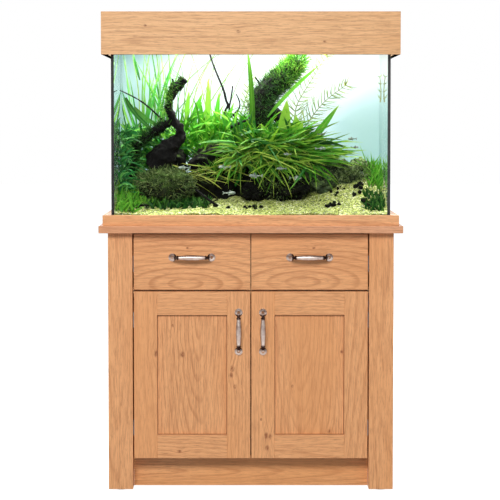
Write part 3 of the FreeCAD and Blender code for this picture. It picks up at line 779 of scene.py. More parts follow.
def leaf_finish(name, root, body, tip, veins, glow):
    """
    Leaf that runs from its root colour, a painted shade that is near black in most finishes, to its tip
    colour, lighter along its rib by veins, each leaf a little different. glow is the share of light that
    comes through it.
    """
    leaf = Finish(name)
    chart = leaf.node("UVMap", uv_map="leaf").outputs[0]
    across, up, _ = leaf.split(chart)
    tint = leaf.node("Attribute", attribute_name="tint").outputs["Fac"]
    # Painted shade: the root colour darkens the base of each leaf, where the leaves crowd.
    colour = leaf.ramp(up, (0.0, root), (0.35, body), (0.75, body), (1.0, tip))
    body = linear(*body)
    tip = linear(*tip)
    darker = leaf.blend(colour, shade_of(body, 0.30), leaf.band(tint, 0.62, 1.0, 0.0, 0.80))
    lighter = leaf.blend(darker, tip, leaf.band(tint, 0.34, 0.0, 0.0, 0.65))
    rib = leaf.math("ABSOLUTE", leaf.math("SUBTRACT", across, 0.5))
    ribbed = leaf.blend(lighter, tip, leaf.band(rib, 0.0, 0.12, veins, 0.0))
    blotch = leaf.noise(leaf.place, 120.0)
    coloured = leaf.blend(ribbed, shade_of(body, 0.55), leaf.band(blotch, 0.5, 0.75, 0.0, 0.45))
    relief = leaf.bump(leaf.band(rib, 0.0, 0.2), 0.3, 0.0005)
    front = leaf.surface(coloured, leaf.band(blotch, 0.3, 0.7, 0.45, 0.6), relief, Specular_IOR_Level=0.2)
    through = leaf.node("BsdfTranslucent")
    leaf.put(through.inputs["Color"], coloured)
    return leaf.done(leaf.mixed(front, through.outputs[0], glow))


def level(y, *places):
    """Points at one depth, from their x and z."""
    return tuple((x, y, z) for x, z in places)


def on_line(points, share):
    """Where a line through the points has run the given share of its length."""
    points = np.array(points)
    legs = np.linalg.norm(np.diff(points, axis=0), axis=1)
    marks = np.concatenate([[0.0], np.cumsum(legs)]) / legs.sum()
    return np.stack([np.interp(share, marks, points[:, axis]) for axis in range(3)], axis=-1)


# ---------------------------------------------------------------- gravel and rocks

GRAVEL_FRONT = 0.7965
GRAVEL_MIDDLE = 0.840
GRAVEL_BACK = 0.866
GRAVEL_HALF_DEPTH = 0.192


def gravel_height(x, y):
    """Height of the gravel: rising to the back, with a bank at the right and a low one at the left."""
    rise = np.where(y < 0, GRAVEL_MIDDLE - GRAVEL_FRONT, GRAVEL_BACK - GRAVEL_MIDDLE)
    slope = GRAVEL_MIDDLE + rise * y / GRAVEL_HALF_DEPTH
    bank = 0.066 * np.exp(-((x - 0.33) / 0.13) ** 2 - ((y - 0.02) / 0.11) ** 2)
    low_bank = 0.020 * np.exp(-((x + 0.37) / 0.06) ** 2 - ((y + 0.02) / 0.12) ** 2)
    swell = 0.003 * np.sin(x * 21.0 + 1.3) * np.cos(y * 17.0) + 0.0012 * np.sin(x * 93.0 + y * 71.0)
    return slope + bank + low_bank + swell


def gravel_finish():
    bed = Finish("Speckled gravel")
    grains = bed.cells(bed.place, 290.0)
    tone = bed.split(grains["Color"])[0]
    colour = bed.ramp(tone, (0.0, (40, 48, 18)), (0.24, (118, 132, 52)), (0.48, (180, 192, 92)),
                      (0.75, (210, 218, 124)), (0.93, (236, 238, 180)), (1.0, (252, 252, 235)))
    clump = bed.noise(bed.place, 26.0, 3.0)
    colour = bed.blend(colour, linear(124, 142, 44), bed.band(clump, 0.54, 0.74, 0.0, 0.50))
    relief = bed.bump(bed.band(grains["Distance"], 0.0, 0.6, 1.0, 0.0), 0.8, 0.002)
    return bed.done(bed.surface(colour, bed.band(tone, 0.0, 1.0, 0.55, 0.8), relief))


def make_gravel():
    nothing_selected()
    low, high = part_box("gravel_bed")
    bpy.ops.mesh.primitive_grid_add(x_subdivisions=196, y_subdivisions=96, size=1.0)
    bed = bpy.context.object
    bed.scale = (high[0] - low[0], high[1] - low[1], 1.0)
    bed.location = (0.0, 0.0, low[2])
    place_in_mesh(bed)
    bpy.ops.object.mode_set(mode="EDIT")
    bpy.ops.mesh.select_all(action="SELECT")
    bpy.ops.mesh.extrude_region_move(TRANSFORM_OT_translate={"value": (0, 0, 0.02)})
    bpy.ops.object.mode_set(mode="OBJECT")
    rough = dice.normal(0.0, 0.0007, len(bed.data.vertices))
    for vertex, lift in zip(bed.data.vertices, rough):
        if vertex.co.z > low[2] + 0.01:
            vertex.co.z = float(gravel_height(vertex.co.x, vertex.co.y)) + lift
    normals_out(bed)
    finished(bed, "gravel", gravel_finish(), 0, ("gravel_bed",))


def scattered(x_range, y_range, size_range, count):
    """Random stones on the gravel, each as (place, size)."""
    stones = []
    for _ in range(count):
        x = dice.uniform(*x_range)
        y = dice.uniform(*y_range)
        stones.append(((x, y, float(gravel_height(x, y))), dice.uniform(*size_range)))
    return stones


def pebble_scatter(name, finish, stones, lift):
    """Small stones: one lumpy pebble modelled once, then copied, turned and scaled."""
    nothing_selected()
    bpy.ops.mesh.primitive_ico_sphere_add(subdivisions=2, radius=1.0)
    pebble = bpy.context.object
    for vertex in pebble.data.vertices:
        x, y, z = vertex.co
        vertex.co = vertex.co * (1.0 + 0.13 * math.sin(3.1 * x + 2.0) + 0.11 * math.cos(4.3 * y + z))
    copies = []
    for (x, y, z), size in stones:
        copy = copy_of(pebble)
        turn = Matrix.Rotation(dice.uniform(0, 2 * math.pi), 4, Vector(unit(dice.normal(0, 1, 3))))
        squash = Matrix.Diagonal((size, size * dice.uniform(0.6, 1.0), size * dice.uniform(0.5, 0.8), 1.0))
        copy.data.transform(Matrix.Translation((x, y, z + lift * size)) @ turn @ squash)
        copies.append(copy)
    thrown_away(pebble)
    finished(joined(copies), name, finish, 50.0)


def stone_finish(name, rock, moss, cover, fleck):
    """Dark rock with moss on what faces up, cover being how far down the moss reaches."""
    stone = Finish(name)
    up = stone.split(stone.node("NewGeometry").outputs["Normal"])[2]
    rough = stone.noise(stone.place, 34.0, 4.0, 0.65)
    fine = stone.noise(stone.place, 240.0, 3.0, 0.7)
    body = stone.blend(shade_of(rock, 0.4), shade_of(rock, 1.8), stone.band(rough, 0.4, 0.75))
    line = stone.math("MULTIPLY_ADD", rough, 1.1, up)
    mossy = stone.band(line, cover, cover + 0.5)
    patches = stone.blend(shade_of(moss, 0.45), moss, stone.band(fine, 0.35, 0.62))
    flecked = stone.blend(patches, fleck, stone.band(fine, 0.60, 0.72, 0.0, 0.8))
    colour = stone.blend(body, flecked, mossy)
    relief = stone.bump(stone.math("ADD", rough, stone.math("MULTIPLY", fine, 0.6)), 0.8, 0.004)
    roughness = stone.band(fine, 0.3, 0.7, 0.7, 0.9)
    return stone.done(stone.surface(colour, roughness, relief, Specular_IOR_Level=0.12))


def boulder(centre, radii, broken, seed):
    """One rock: a ball stretched to size, then broken up by coarse facets and fine lumps."""
    nothing_selected()
    bpy.ops.mesh.primitive_ico_sphere_add(subdivisions=5, radius=1.0)
    rock = bpy.context.object
    rock.rotation_euler = (seed, seed * 1.7, seed * 2.3)
    place_in_mesh(rock)
    rock.scale = radii
    place_in_mesh(rock)
    shift = Vector((seed * 0.31, seed * 0.17, seed * 0.23))
    for vertex in rock.data.vertices:
        vertex.co += shift
    smallest = min(radii)
    roughened(rock, "Rock facets", smallest * 0.9, smallest * broken * 1.6, "VORONOI")
    roughened(rock, "Rock lumps", smallest * 0.28, smallest * broken * 0.85)
    rock.location = Vector(centre) - shift
    place_in_mesh(rock)
    return rock


def make_stones():
    mossy = stone_finish("Mossy grey rock", linear(36, 42, 28), linear(80, 108, 48), 0.55,
                         linear(176, 190, 136))
    # Dark rock is near black: partly the stone's own colour, and partly painted shade for the shaded hollow
    # under the ferns, where the middle rocks lie.
    dark = stone_finish("Dark rock", linear(16, 16, 12), linear(60, 84, 30), 1.15, linear(110, 130, 60))
    grey = stone_finish("Green-grey rock", linear(70, 84, 60), linear(110, 134, 78), 0.75,
                        linear(176, 188, 150))
    # Each rock is (centre, radii, how broken it is, seed).
    for name, finish, replaced, rocks in (
            ("mossy_boulder", mossy, ("stones",), (
                ((-0.2486, -0.070, 0.8748), (0.082, 0.046, 0.047), 0.30, 0.4),
                ((-0.3329, 0.02, 0.8669), (0.045, 0.05, 0.05), 0.35, 1.1))),
            ("dark_rocks", dark, (), (
                ((-0.1097, 0.035, 0.9315), (0.072, 0.050, 0.064), 0.50, 2.0),
                ((-0.1196, 0.030, 0.8669), (0.085, 0.055, 0.050), 0.50, 3.1),
                ((-0.015, 0.040, 0.890), (0.070, 0.040, 0.060), 0.50, 2.4),
                ((0.060, 0.010, 0.915), (0.085, 0.040, 0.050), 0.50, 1.2),
                ((0.1200, -0.045, 0.870), (0.055, 0.034, 0.028), 0.95, 0.9),
                ((0.0500, -0.035, 0.870), (0.040, 0.030, 0.028), 0.95, 1.9),
                ((0.0050, -0.055, 0.858), (0.036, 0.028, 0.022), 0.95, 1.6),
                ((-0.2436, 0.05, 0.9414), (0.055, 0.040, 0.040), 0.45, 2.7))),
            ("green_rocks", grey, (), (
                ((0.1800, 0.000, 0.905), (0.044, 0.040, 0.042), 0.65, 1.9),
                ((0.2500, -0.005, 0.912), (0.050, 0.040, 0.036), 0.65, 2.2),
                ((0.3250, 0.035, 0.925), (0.036, 0.036, 0.028), 0.65, 0.3),
                ((0.2150, -0.025, 0.880), (0.036, 0.032, 0.026), 0.65, 1.4),
                ((0.2950, -0.010, 0.898), (0.030, 0.028, 0.022), 0.65, 2.9)))):
        finished(joined([boulder(*rock) for rock in rocks]), name, finish, 60.0, replaced)

    pebbles = []
    # Each heap is (x, y, half width, half depth, count, size).
    for x, y, half_x, half_y, count, size in (
            (0.235, -0.125, 0.030, 0.012, 7, 0.008), (0.345, -0.110, 0.030, 0.020, 9, 0.009),
            (0.02, -0.115, 0.060, 0.015, 5, 0.006), (0.33, -0.03, 0.03, 0.04, 6, 0.008),
            (-0.06, -0.12, 0.05, 0.012, 5, 0.006), (0.285, -0.065, 0.05, 0.03, 12, 0.006)):
        pebbles += scattered((x - half_x, x + half_x), (y - half_y, y + half_y),
                             (size * 0.6, size * 1.5), count)
    pebble_scatter("dark_pebbles", dark, pebbles, 0.2)
    grains = scattered((-0.385, 0.385), (-0.188, -0.02), (0.0014, 0.0030), 420)
    pebble_scatter("loose_grains", gravel_finish(), grains, 0.3)


# ---------------------------------------------------------------- driftwood

LEFT_TRUNK = ((-0.2740, -0.030, 0.9250), (-0.2600, -0.035, 0.9600), (-0.2400, -0.040, 0.9900),
              (-0.2051, -0.040, 1.0120), (-0.2060, -0.040, 1.0420), (-0.2281, -0.040, 1.0700),
              (-0.2460, -0.040, 1.1086), (-0.2364, -0.040, 1.1384))
LEFT_STUB = level(-0.040, (-0.2400, 1.1250), (-0.2264, 1.1500), (-0.2110, 1.1690), (-0.1960, 1.1880))
LEFT_ROOT = ((-0.2350, -0.030, 1.0640), (-0.2705, -0.020, 1.0410), (-0.3086, -0.020, 1.0160),
             (-0.3382, -0.020, 0.9900), (-0.3510, -0.015, 0.9480), (-0.3560, -0.010, 0.9000))
RIGHT_BRANCH = level(0.06, (0.0292, 0.847), (0.0391, 0.9365), (0.0331, 1.016), (0.0292, 1.0707),
                     (0.0331, 1.1253), (0.0569, 1.1631), (0.0986, 1.1949), (0.1442, 1.2426))


def bark():
    wood = Finish("Waterlogged bark")
    rough = wood.noise(wood.place, 60.0, 4.0, 0.7)
    fine = wood.noise(wood.stretched(wood.place, (1, 1, 0.4)), 300.0, 3.0, 0.7)
    colour = wood.ramp(rough, (0.35, (1, 1, 1)), (0.66, (8, 6, 5)), (0.84, (44, 36, 26)))
    relief = wood.bump(wood.math("ADD", rough, wood.math("MULTIPLY", fine, 0.5)), 0.9, 0.004)
    roughness = wood.band(fine, 0.3, 0.7, 0.6, 0.8)
    return wood.done(wood.surface(colour, roughness, relief, Specular_IOR_Level=0.12))


def make_driftwood():
    """Two pieces: the thick limbs, melted into one another, and the thin twigs."""
    finish = bark()
    limbs = joined([bent_bar(points, radii) for points, radii in (
        (LEFT_TRUNK, (0.038, 0.040, 0.026, 0.017, 0.0125, 0.0115, 0.0115, 0.0105)),
        (((-0.3050, -0.02, 0.955), (-0.2750, -0.03, 0.970), (-0.2500, -0.04, 0.965), (-0.2300, -0.04, 0.940)),
         (0.010, 0.020, 0.024, 0.014)),
        (LEFT_STUB, (0.011, 0.0125, 0.0135, 0.0135)),
        (level(-0.040, (-0.2380, 1.1380), (-0.2330, 1.1650), (-0.2283, 1.1920)), (0.008, 0.006, 0.004)),
        (LEFT_ROOT, (0.010, 0.013, 0.012, 0.010, 0.008, 0.006)),
        (RIGHT_BRANCH, (0.040, 0.034, 0.030, 0.036, 0.034, 0.034, 0.032, 0.024)),
        (((-0.0304, 0.075, 0.9216), (0.049, 0.075, 0.9315), (0.1284, 0.075, 0.9166), (0.1879, 0.07, 0.8868)),
         (0.036, 0.044, 0.040, 0.024)),
        (((0.0331, 0.055, 1.1552), (0.0292, 0.05, 1.177), (0.0133, 0.05, 1.1949)), (0.009, 0.006, 0.004)),
        (((0.0391, 0.055, 1.1651), (0.051, 0.05, 1.1909), (0.0728, 0.05, 1.2188)), (0.008, 0.0045, 0.0035)),
        (((0.0589, 0.05, 1.0955), (0.0936, 0.04, 1.0756), (0.1085, 0.03, 1.0359)), (0.022, 0.018, 0.010)))])
    place_in_mesh(limbs)
    applied(limbs, "REMESH", mode="VOXEL", voxel_size=0.0035)
    roughened(limbs, "Bark lumps", 0.020, 0.013)
    roughened(limbs, "Bark cracks", 0.008, 0.006)
    finished(limbs, "driftwood_limbs", finish, 60.0, ("driftwood",))

    twigs = joined([bent_bar(points, radii) for points, radii in (
        (level(0.1, (-0.1271, 1.2784), (-0.1157, 1.2406), (-0.0998, 1.2009), (-0.08, 1.1552),
               (-0.074, 1.1233), (-0.0661, 1.1114), (-0.08, 1.0915), (-0.0829, 1.0379), (-0.077, 0.9663)),
         (0.0022, 0.0030, 0.0032, 0.0036, 0.0040, 0.0044, 0.0034, 0.0036, 0.004)),
        (((-0.0542, 0.1, 1.1701), (-0.0581, 0.1, 1.1353), (-0.0681, 0.1, 1.0955), (-0.0403, 0.1, 1.0717),
          (-0.0006, 0.09, 1.0299), (0.0192, 0.08, 0.9961)), (0.0018, 0.0026, 0.0026, 0.0026, 0.003, 0.004)),
        (level(0.1, (-0.0442, 1.1452), (-0.0314, 1.1233), (-0.0343, 1.0995), (-0.0522, 1.0856),
               (-0.076, 1.0558), (-0.0829, 1.0259)), (0.0016, 0.0024, 0.0024, 0.0022, 0.0024, 0.003)),
        (((-0.388, 0.02, 1.1552), (-0.3428, 0.02, 1.1353), (-0.2982, 0.025, 1.1035), (-0.2605, 0.03, 1.0657)),
         (0.0016, 0.0022, 0.0026, 0.003)),
        (level(0.0, (-0.0601, 1.0458), (-0.0353, 1.0577), (-0.0105, 1.0677)), (0.005, 0.005, 0.003)),
        (((-0.1593, -0.125, 0.8649), (-0.1296, -0.140, 0.841), (-0.0958, -0.155, 0.8192)),
         (0.003, 0.004, 0.0035)),
        (((-0.3399, -0.150, 0.8182), (-0.318, -0.150, 0.8222), (-0.2942, -0.148, 0.8202)),
         (0.0030, 0.0038, 0.0030)),
        (((-0.0948, -0.145, 0.8371), (-0.1077, -0.135, 0.8331), (-0.1196, -0.125, 0.8232)),
         (0.0016, 0.0022, 0.0022)))])
    roughened(twigs, "Twig knots", 0.02, 0.0022)
    finished(twigs, "twigs", finish)


# ---------------------------------------------------------------- planting

def fuzz(name, finish, roots, heads, lengths, width, curl):
    """Short needles of moss."""
    count = len(roots)
    lengths = dice.uniform(*lengths, count)
    grow(name, finish, roots, heads, lengths, width, curl * dice.normal(0, 1, (count, 3)), needle, 4, 1.0)


def moss_on_line(name, finish, points, count, radius, run, lean, lengths, width, curl=0.3):
    """Moss round a limb, over the run of it from one share of its length to another."""
    share = dice.uniform(*run, count)
    out = unit(dice.normal(0, 1, (count, 3)))
    fuzz(name, finish, on_line(points, share) + out * radius, out + lean, lengths, width, curl)


def moss_on_lump(name, finish, centre, radii, count, lengths, width, lean=None):
    """Moss over the top and front of a rock, tangled unless it all leans one way."""
    way = unit(dice.normal(0, 1, (count, 3)) + (0.0, -0.5, 0.4))
    heads = way + (dice.normal(0, 0.9, (count, 3)) if lean is None else lean)
    fuzz(name, finish, np.array(centre) + way * np.array(radii), heads, lengths, width, 0.4)


def make_moss():
    bright = leaf_finish("Bright moss", (16, 46, 10), (72, 150, 30), (170, 214, 84), 0.1, 0.3)
    deep = leaf_finish("Deep moss", (5, 16, 6), (22, 66, 20), (84, 138, 50), 0.1, 0.2)
    pale = leaf_finish("Pale moss", (14, 24, 10), (66, 92, 40), (168, 186, 118), 0.1, 0.2)
    light = leaf_finish("Grey-green moss", (26, 36, 18), (104, 128, 66), (188, 202, 146), 0.1, 0.2)
    moss_on_line("branch_moss", deep, RIGHT_BRANCH, 4200, 0.028, (0.38, 0.88), (0.5, -0.3, 0.2),
                 (0.010, 0.026), 0.0022, 0.35)
    moss_on_line("branch_top_moss", bright, RIGHT_BRANCH, 1500, 0.026, (0.80, 1.0), (0.0, -0.2, 0.6),
                 (0.012, 0.026), 0.0026)
    moss_on_line("stub_moss", bright, LEFT_STUB, 150, 0.012, (0.0, 1.0), (-0.9, -0.2, 0.3),
                 (0.014, 0.032), 0.0018)
    moss_on_line("trunk_moss", bright, LEFT_TRUNK, 110, 0.011, (0.76, 1.0), (-0.9, -0.1, 0.3),
                 (0.014, 0.034), 0.0018)
    moss_on_line("root_moss", deep, LEFT_ROOT, 800, 0.012, (0.1, 0.9), (0.0, -0.2, 0.6),
                 (0.010, 0.024), 0.0024)
    moss_on_lump("boulder_moss", pale, (-0.2486, -0.070, 0.8748), (0.086, 0.048, 0.048), 1500,
                 (0.006, 0.016), 0.0030)
    moss_on_lump("rock_moss", light, (0.2500, -0.005, 0.903), (0.110, 0.043, 0.038), 1500,
                 (0.005, 0.014), 0.0028)
    moss_on_lump("cave_moss", pale, (0.0900, -0.042, 0.869), (0.086, 0.036, 0.030), 700,
                 (0.005, 0.014), 0.0026)
    moss_on_lump("ledge_moss", bright, (-0.0849, 0.0, 0.9116), (0.060, 0.03, 0.022), 500,
                 (0.010, 0.024), 0.0026, (0.3, -0.2, 0.4))


def make_grasses():
    pale_blade = leaf_finish("Pale grass", (60, 120, 50), (120, 176, 86), (176, 208, 120), 0.3, 0.4)
    green_blade = leaf_finish("Green grass", (26, 80, 30), (60, 150, 56), (140, 196, 80), 0.3, 0.35)
    bush = leaf_finish("Bush leaf", (8, 34, 14), (38, 134, 44), (140, 206, 66), 0.25, 0.3)
    side = leaf_finish("Side leaf", (6, 30, 14), (30, 116, 48), (120, 196, 90), 0.25, 0.3)
    upright = leaf_finish("Upright leaf", (14, 56, 14), (70, 164, 34), (160, 216, 70), 0.25, 0.35)
    tuft("tall_grass", green_blade, 34, (-0.3825, 0.09, 0.8669), (-0.199, 0.16, 0.9564),
         (around(0.02, 0.30), around(0, 0.08), 1), (around(0.0, 0.22), 0, between(-0.12, 0.0)),
         (0.24, 0.44), (0.004, 0.0065), strap, 10, 0.4)
    tuft("fine_grass", pale_blade, 30, (-0.3776, 0.13, 0.9067), (-0.0601, 0.17, 1.0259),
         (around(0.03, 0.20), around(0, 0.05), 1), (around(0.0, 0.20), 0, between(-0.1, 0.0)),
         (0.22, 0.36), (0.0025, 0.0045), strap, 10, 0.4)
    tuft("left_bush", bush, 720, (-0.3895, 0.02, 0.8371), (-0.2238, 0.17, 1.0259),
         (around(0.05, 0.6), around(-0.25, 0.3), between(0.3, 1.2)),
         (around(0.0, 0.5), around(0, 0.2), between(-0.9, -0.1)), (0.035, 0.085), (0.004, 0.008))
    tuft("glass_side_bush", side, 420, (-0.3895, -0.13, 0.8300), (-0.3600, 0.185, 1.0300),
         (around(0.3, 0.4), around(-0.2, 0.3), between(0.3, 1.0)),
         (around(0.1, 0.3), around(0, 0.2), between(-0.9, -0.1)), (0.03, 0.07), (0.004, 0.008))
    tuft("middle_bush", upright, 700, (-0.2139, 0.04, 0.9300), (0.0292, 0.16, 1.0400),
         (around(0.08, 0.45), around(-0.2, 0.25), between(0.5, 1.3)),
         (around(0.0, 0.4), around(0, 0.2), between(-0.6, 0.1)), (0.05, 0.105), (0.004, 0.009), twist=0.6)
    # Each sword leaf is (x, y, z, lean, length, width).
    placed_leaves("sword_leaves", upright, [
        ((x, y, z), (lean, 0, 1), (0.1 * lean, 0, 0), length, width) for x, y, z, lean, length, width in (
            (-0.1296, 0.08, 1.0359, 0.02, 0.160, 0.017), (-0.1077, 0.08, 1.0259, 0.10, 0.130, 0.016),
            (-0.1444, 0.08, 1.016, -0.06, 0.125, 0.013), (-0.0849, 0.07, 1.016, 0.30, 0.110, 0.014),
            (-0.1692, 0.07, 1.0061, 0.05, 0.120, 0.012), (-0.194, 0.07, 1.0657, 0.10, 0.090, 0.014),
            (-0.1792, 0.07, 1.0558, 0.35, 0.100, 0.015), (-0.0601, 0.07, 1.0061, -0.25, 0.100, 0.012))],
        pointed, 10)
    placed_leaves("left_straps", green_blade, (
        ((-0.3696, 0.0, 1.1333), (0.40, 0, -1.0), (0.35, 0, 0.1), 0.120, 0.014),
        ((-0.3428, -0.01, 1.1055), (0.75, 0, -1.0), (0.3, 0, 0.2), 0.110, 0.013),
        ((-0.328, 0.01, 1.185), (-0.30, 0, 1.0), (0.05, 0, 0), 0.085, 0.007)), strap, 10)


def make_ferns():
    fern = leaf_finish("Fern leaf", (8, 30, 6), (78, 158, 36), (176, 212, 74), 0.35, 0.35)
    # Painted shade: the inner fern leaf is a darker copy of the fern leaf, for the leaves inside the clump.
    deep = leaf_finish("Inner fern leaf", (4, 22, 8), (36, 110, 34), (120, 180, 50), 0.25, 0.25)
    curled = leaf_finish("Curled fern leaf", (50, 84, 16), (136, 184, 54), (196, 214, 96), 0.3, 0.3)
    broad = leaf_finish("Broad leaf", (40, 100, 24), (100, 182, 50), (178, 212, 84), 0.45, 0.4)
    ribbon = leaf_finish("Ribbon leaf", (60, 130, 30), (112, 190, 50), (160, 214, 80), 0.3, 0.45)
    tuft("inner_fern", deep, 560, (-0.0502, -0.06, 0.9365), (0.168, 0.05, 1.021),
         (around(0.15, 0.8), around(-0.5, 0.4), around(0.35, 0.6)),
         (around(0.1, 0.3), around(0, 0.2), between(-0.6, 0.0)),
         (0.05, 0.11), (0.007, 0.013), pointed, 8, 0.6)

    # The main clump fans out from its middle, further and with less droop towards the right.
    count = 380
    turn = dice.uniform(math.radians(-14), math.radians(205), count)
    rightwards = np.cos(turn) > 0.3
    reach = np.where(rightwards, dice.uniform(0.08, 0.19, count), dice.uniform(0.06, 0.13, count))
    roots = dice.uniform((-0.0105, -0.07, 0.9414), (0.1482, 0.02, 1.0011), (count, 3))
    heads = np.column_stack([np.cos(turn), dice.normal(-0.30, 0.25, count), 0.75 * np.sin(turn) + 0.12])
    bends = np.column_stack([0.12 * np.cos(turn), dice.normal(0, 0.05, count),
                             dice.uniform(-0.55, -0.12, count) * np.where(rightwards, 0.6, 1.0)])
    grow("fern_clump", fern, roots, heads, reach, dice.uniform(0.0035, 0.0080, count), bends, strap, 10, 0.6,
         ("plant_clumps",))

    tuft("long_fern", fern, 70, (0.0589, -0.08, 0.9414), (0.168, -0.02, 0.9911),
         (1, around(-0.1, 0.15), between(0.02, 0.5)), (0, 0, between(-0.28, -0.06)),
         (0.10, 0.18), (0.0035, 0.0070), strap, 12, 0.6)
    tuft("curled_fern", curled, 90, (-0.0402, -0.10, 0.930), (0.150, -0.06, 0.995),
         (around(0.0, 0.9), around(-0.3, 0.2), around(0.5, 0.5)), (around(0.3, 0.5), 0, between(-1.4, -0.2)),
         (0.04, 0.09), (0.0025, 0.0045), strap, 12, 0.5)
    tuft("hanging_fern", fern, 60, (-0.0601, -0.09, 0.9315), (0.1879, -0.04, 0.9613),
         (around(0, 0.8), around(-0.2, 0.2), around(0.0, 0.3)), (around(0, 0.3), 0, between(-0.9, -0.3)),
         (0.04, 0.08), (0.003, 0.007), pointed, 8, 0.5)
    # Each broad leaf is (x, y, z, lean, length, width).
    placed_leaves("broad_leaves", broad, [
        ((x, y, z), (lean, -0.05, 1), (0, 0, 0), length, width) for x, y, z, lean, length, width in (
            (0.0926, -0.05, 0.9911, 0.10, 0.135, 0.036), (0.1482, -0.05, 0.9713, -0.15, 0.110, 0.040),
            (0.168, -0.06, 0.9911, 0.75, 0.150, 0.020), (0.1184, -0.07, 0.9663, 0.35, 0.100, 0.034),
            (0.0589, -0.06, 0.9762, -0.35, 0.085, 0.024), (0.178, -0.05, 0.9762, 0.30, 0.080, 0.026),
            (0.0192, -0.06, 0.9713, 0.20, 0.075, 0.022), (-0.0204, -0.05, 0.9663, -0.30, 0.080, 0.020))],
        pointed, 12)
    placed_leaves("ribbon_leaves", ribbon, (
        ((0.0054, -0.02, 1.0259), (0.0, 0, 1), (-0.06, 0, 0), 0.245, 0.016),
        ((0.049, -0.03, 1.0756), (0.80, 0, 1), (0.10, 0, -0.06), 0.215, 0.011)), strap, 16, 0.1)


def feathery_stem(points, nodes, reach, lean):
    """Nodes up a stem, with needles on both sides of each; returns roots, heads, lengths and bends."""
    rows = []
    for share in (0.12 + 0.88 * index / (nodes - 1) for index in range(nodes)):
        along = unit(on_line(points, share + 0.05) - on_line(points, share - 0.05))
        side = unit(np.cross(along, (0.0, 1.0, 0.0)))
        for sign in (-1, 1):
            for depth in (-0.6, 0.0, 0.5):
                head = along * lean + side * sign + (0.0, depth, 0.1) + dice.normal(0, 0.14, 3)
                length = reach * (1.10 - 0.55 * share) * dice.uniform(0.55, 1.15)
                bend = along * 0.30 + dice.normal(0, 0.10, 3) + (0, 0, -0.05)
                rows.append((on_line(points, share), head, length, bend))
    return [np.array(column) for column in zip(*rows)]


def make_stems():
    grey = leaf_finish("Stem needle", (96, 128, 70), (136, 162, 96), (182, 198, 120), 0.2, 0.4)
    gold = leaf_finish("Stem tip needle", (110, 140, 60), (160, 172, 72), (206, 190, 90), 0.2, 0.4)
    # Each stem is (points, nodes, reach of its lowest needles, lean of the needles along the stem).
    stems = (
        (level(0.02, (0.1165, 0.9961), (0.1294, 1.0677), (0.1343, 1.1114), (0.1581, 1.1512), (0.1849, 1.1929),
               (0.2057, 1.2287), (0.2236, 1.2565)), 17, 0.052, 0.55),
        (level(-0.02, (0.1284, 0.9961), (0.1532, 1.0389), (0.171, 1.0637), (0.1998, 1.1035), (0.2335, 1.1373),
               (0.2791, 1.1691)), 17, 0.062, 0.55),
        (level(0.05, (0.3860, 1.1200), (0.3880, 1.1400), (0.3870, 1.1700), (0.3840, 1.1949)), 4, 0.018, 0.6),
        (level(0.12, (0.0093, 1.0657), (-0.0165, 1.1154), (-0.0105, 1.1651)), 7, 0.040, 0.5),
        (level(0.14, (-0.0105, 1.0856), (0.0034, 1.1353), (-0.0006, 1.185)), 6, 0.035, 0.5))
    bars = []
    needles = []
    for points, nodes, reach, lean in stems:
        radii = [0.0022 - 0.0011 * index / (len(points) - 1) for index in range(len(points))]
        bars.append(bent_bar(points, radii))
        needles.append(feathery_stem(points, nodes, reach, lean))
    finished(joined(bars), "plant_stems", rubbery("Stem skin", linear(108, 118, 80), 300.0))
    roots, heads, lengths, bends = (np.concatenate(parts) for parts in zip(*needles))
    grow("stem_needles", grey, roots, heads, lengths, 0.0026, bends, needle, 6, 0.5)
    roots = np.repeat([stem[0][-1] for stem in stems[:2]], 9, axis=0)
    heads = unit(dice.normal(0, 1, (len(roots), 3)) + (0.7, -0.2, 0.7))
    grow("stem_tips", gold, roots, heads, dice.uniform(0.015, 0.032, len(roots)), 0.0034,
         np.zeros((len(roots), 3)), needle, 5, 0.5)


def make_carpet():
    lawn = leaf_finish("Carpet leaf", (30, 80, 20), (96, 178, 50), (160, 214, 84), 0.2, 0.35)
    deep = leaf_finish("Shaded carpet leaf", (6, 26, 10), (30, 84, 30), (96, 150, 60), 0.2, 0.25)
    straw = leaf_finish("Straw blade", (70, 84, 24), (140, 158, 52), (200, 208, 96), 0.2, 0.2)
    for name, finish, x_range, y_range, count, longest, width in (
            ("left_carpet", lawn, (-0.389, -0.330), (-0.185, 0.06), 420, 0.042, 0.006),
            ("left_carpet_edge", lawn, (-0.335, -0.270), (-0.10, -0.02), 140, 0.034, 0.006),
            ("right_carpet", lawn, (0.345, 0.389), (-0.06, 0.12), 260, 0.060, 0.005),
            ("shaded_carpet", deep, (-0.300, -0.120), (-0.135, -0.06), 260, 0.030, 0.007),
            ("right_shaded_carpet", deep, (0.335, 0.389), (-0.165, -0.08), 110, 0.030, 0.006)):
        x = dice.uniform(*x_range, count)
        y = dice.uniform(*y_range, count)
        roots = np.column_stack([x, y, gravel_height(x, y) - 0.002])
        heads = columns((around(0, 0.6), around(-0.2, 0.4), 1), count)
        bends = 0.25 * dice.normal(0, 1, (count, 3))
        lengths = dice.uniform(0.5, 1.0, count) * longest
        grow(name, finish, roots, heads, lengths, width, bends, pointed, 5, 0.7)

    def more_to_the_right(count):
        return dice.choice([-1.0, 1.0, 1.0], count)

    tuft("lying_blades", straw, 40, (-0.2436, -0.09, 0.8917), (-0.08, -0.03, 0.9414),
         (more_to_the_right, around(-0.1, 0.15), around(0.0, 0.20)), (0, 0, between(-0.35, 0.05)),
         (0.04, 0.10), (0.0018, 0.0034), strap, 8, 0.5)


# ---------------------------------------------------------------- fish and water

def fish_finish():
    skin = Finish("Silver fish skin")
    scales = skin.cells(skin.place, 700.0)["Distance"]
    cloud = skin.noise(skin.place, 160.0)
    colour = skin.ramp(cloud, (0.3, (70, 84, 78)), (0.5, (120, 134, 122)), (0.75, (190, 200, 186)))
    sheen = skin.band(skin.split(skin.place)[2], 0.8, 1.1, 0.28, 0.36)
    return skin.done(skin.surface(colour, sheen, skin.bump(scales, 0.3, 0.0003), Metallic=0.35))


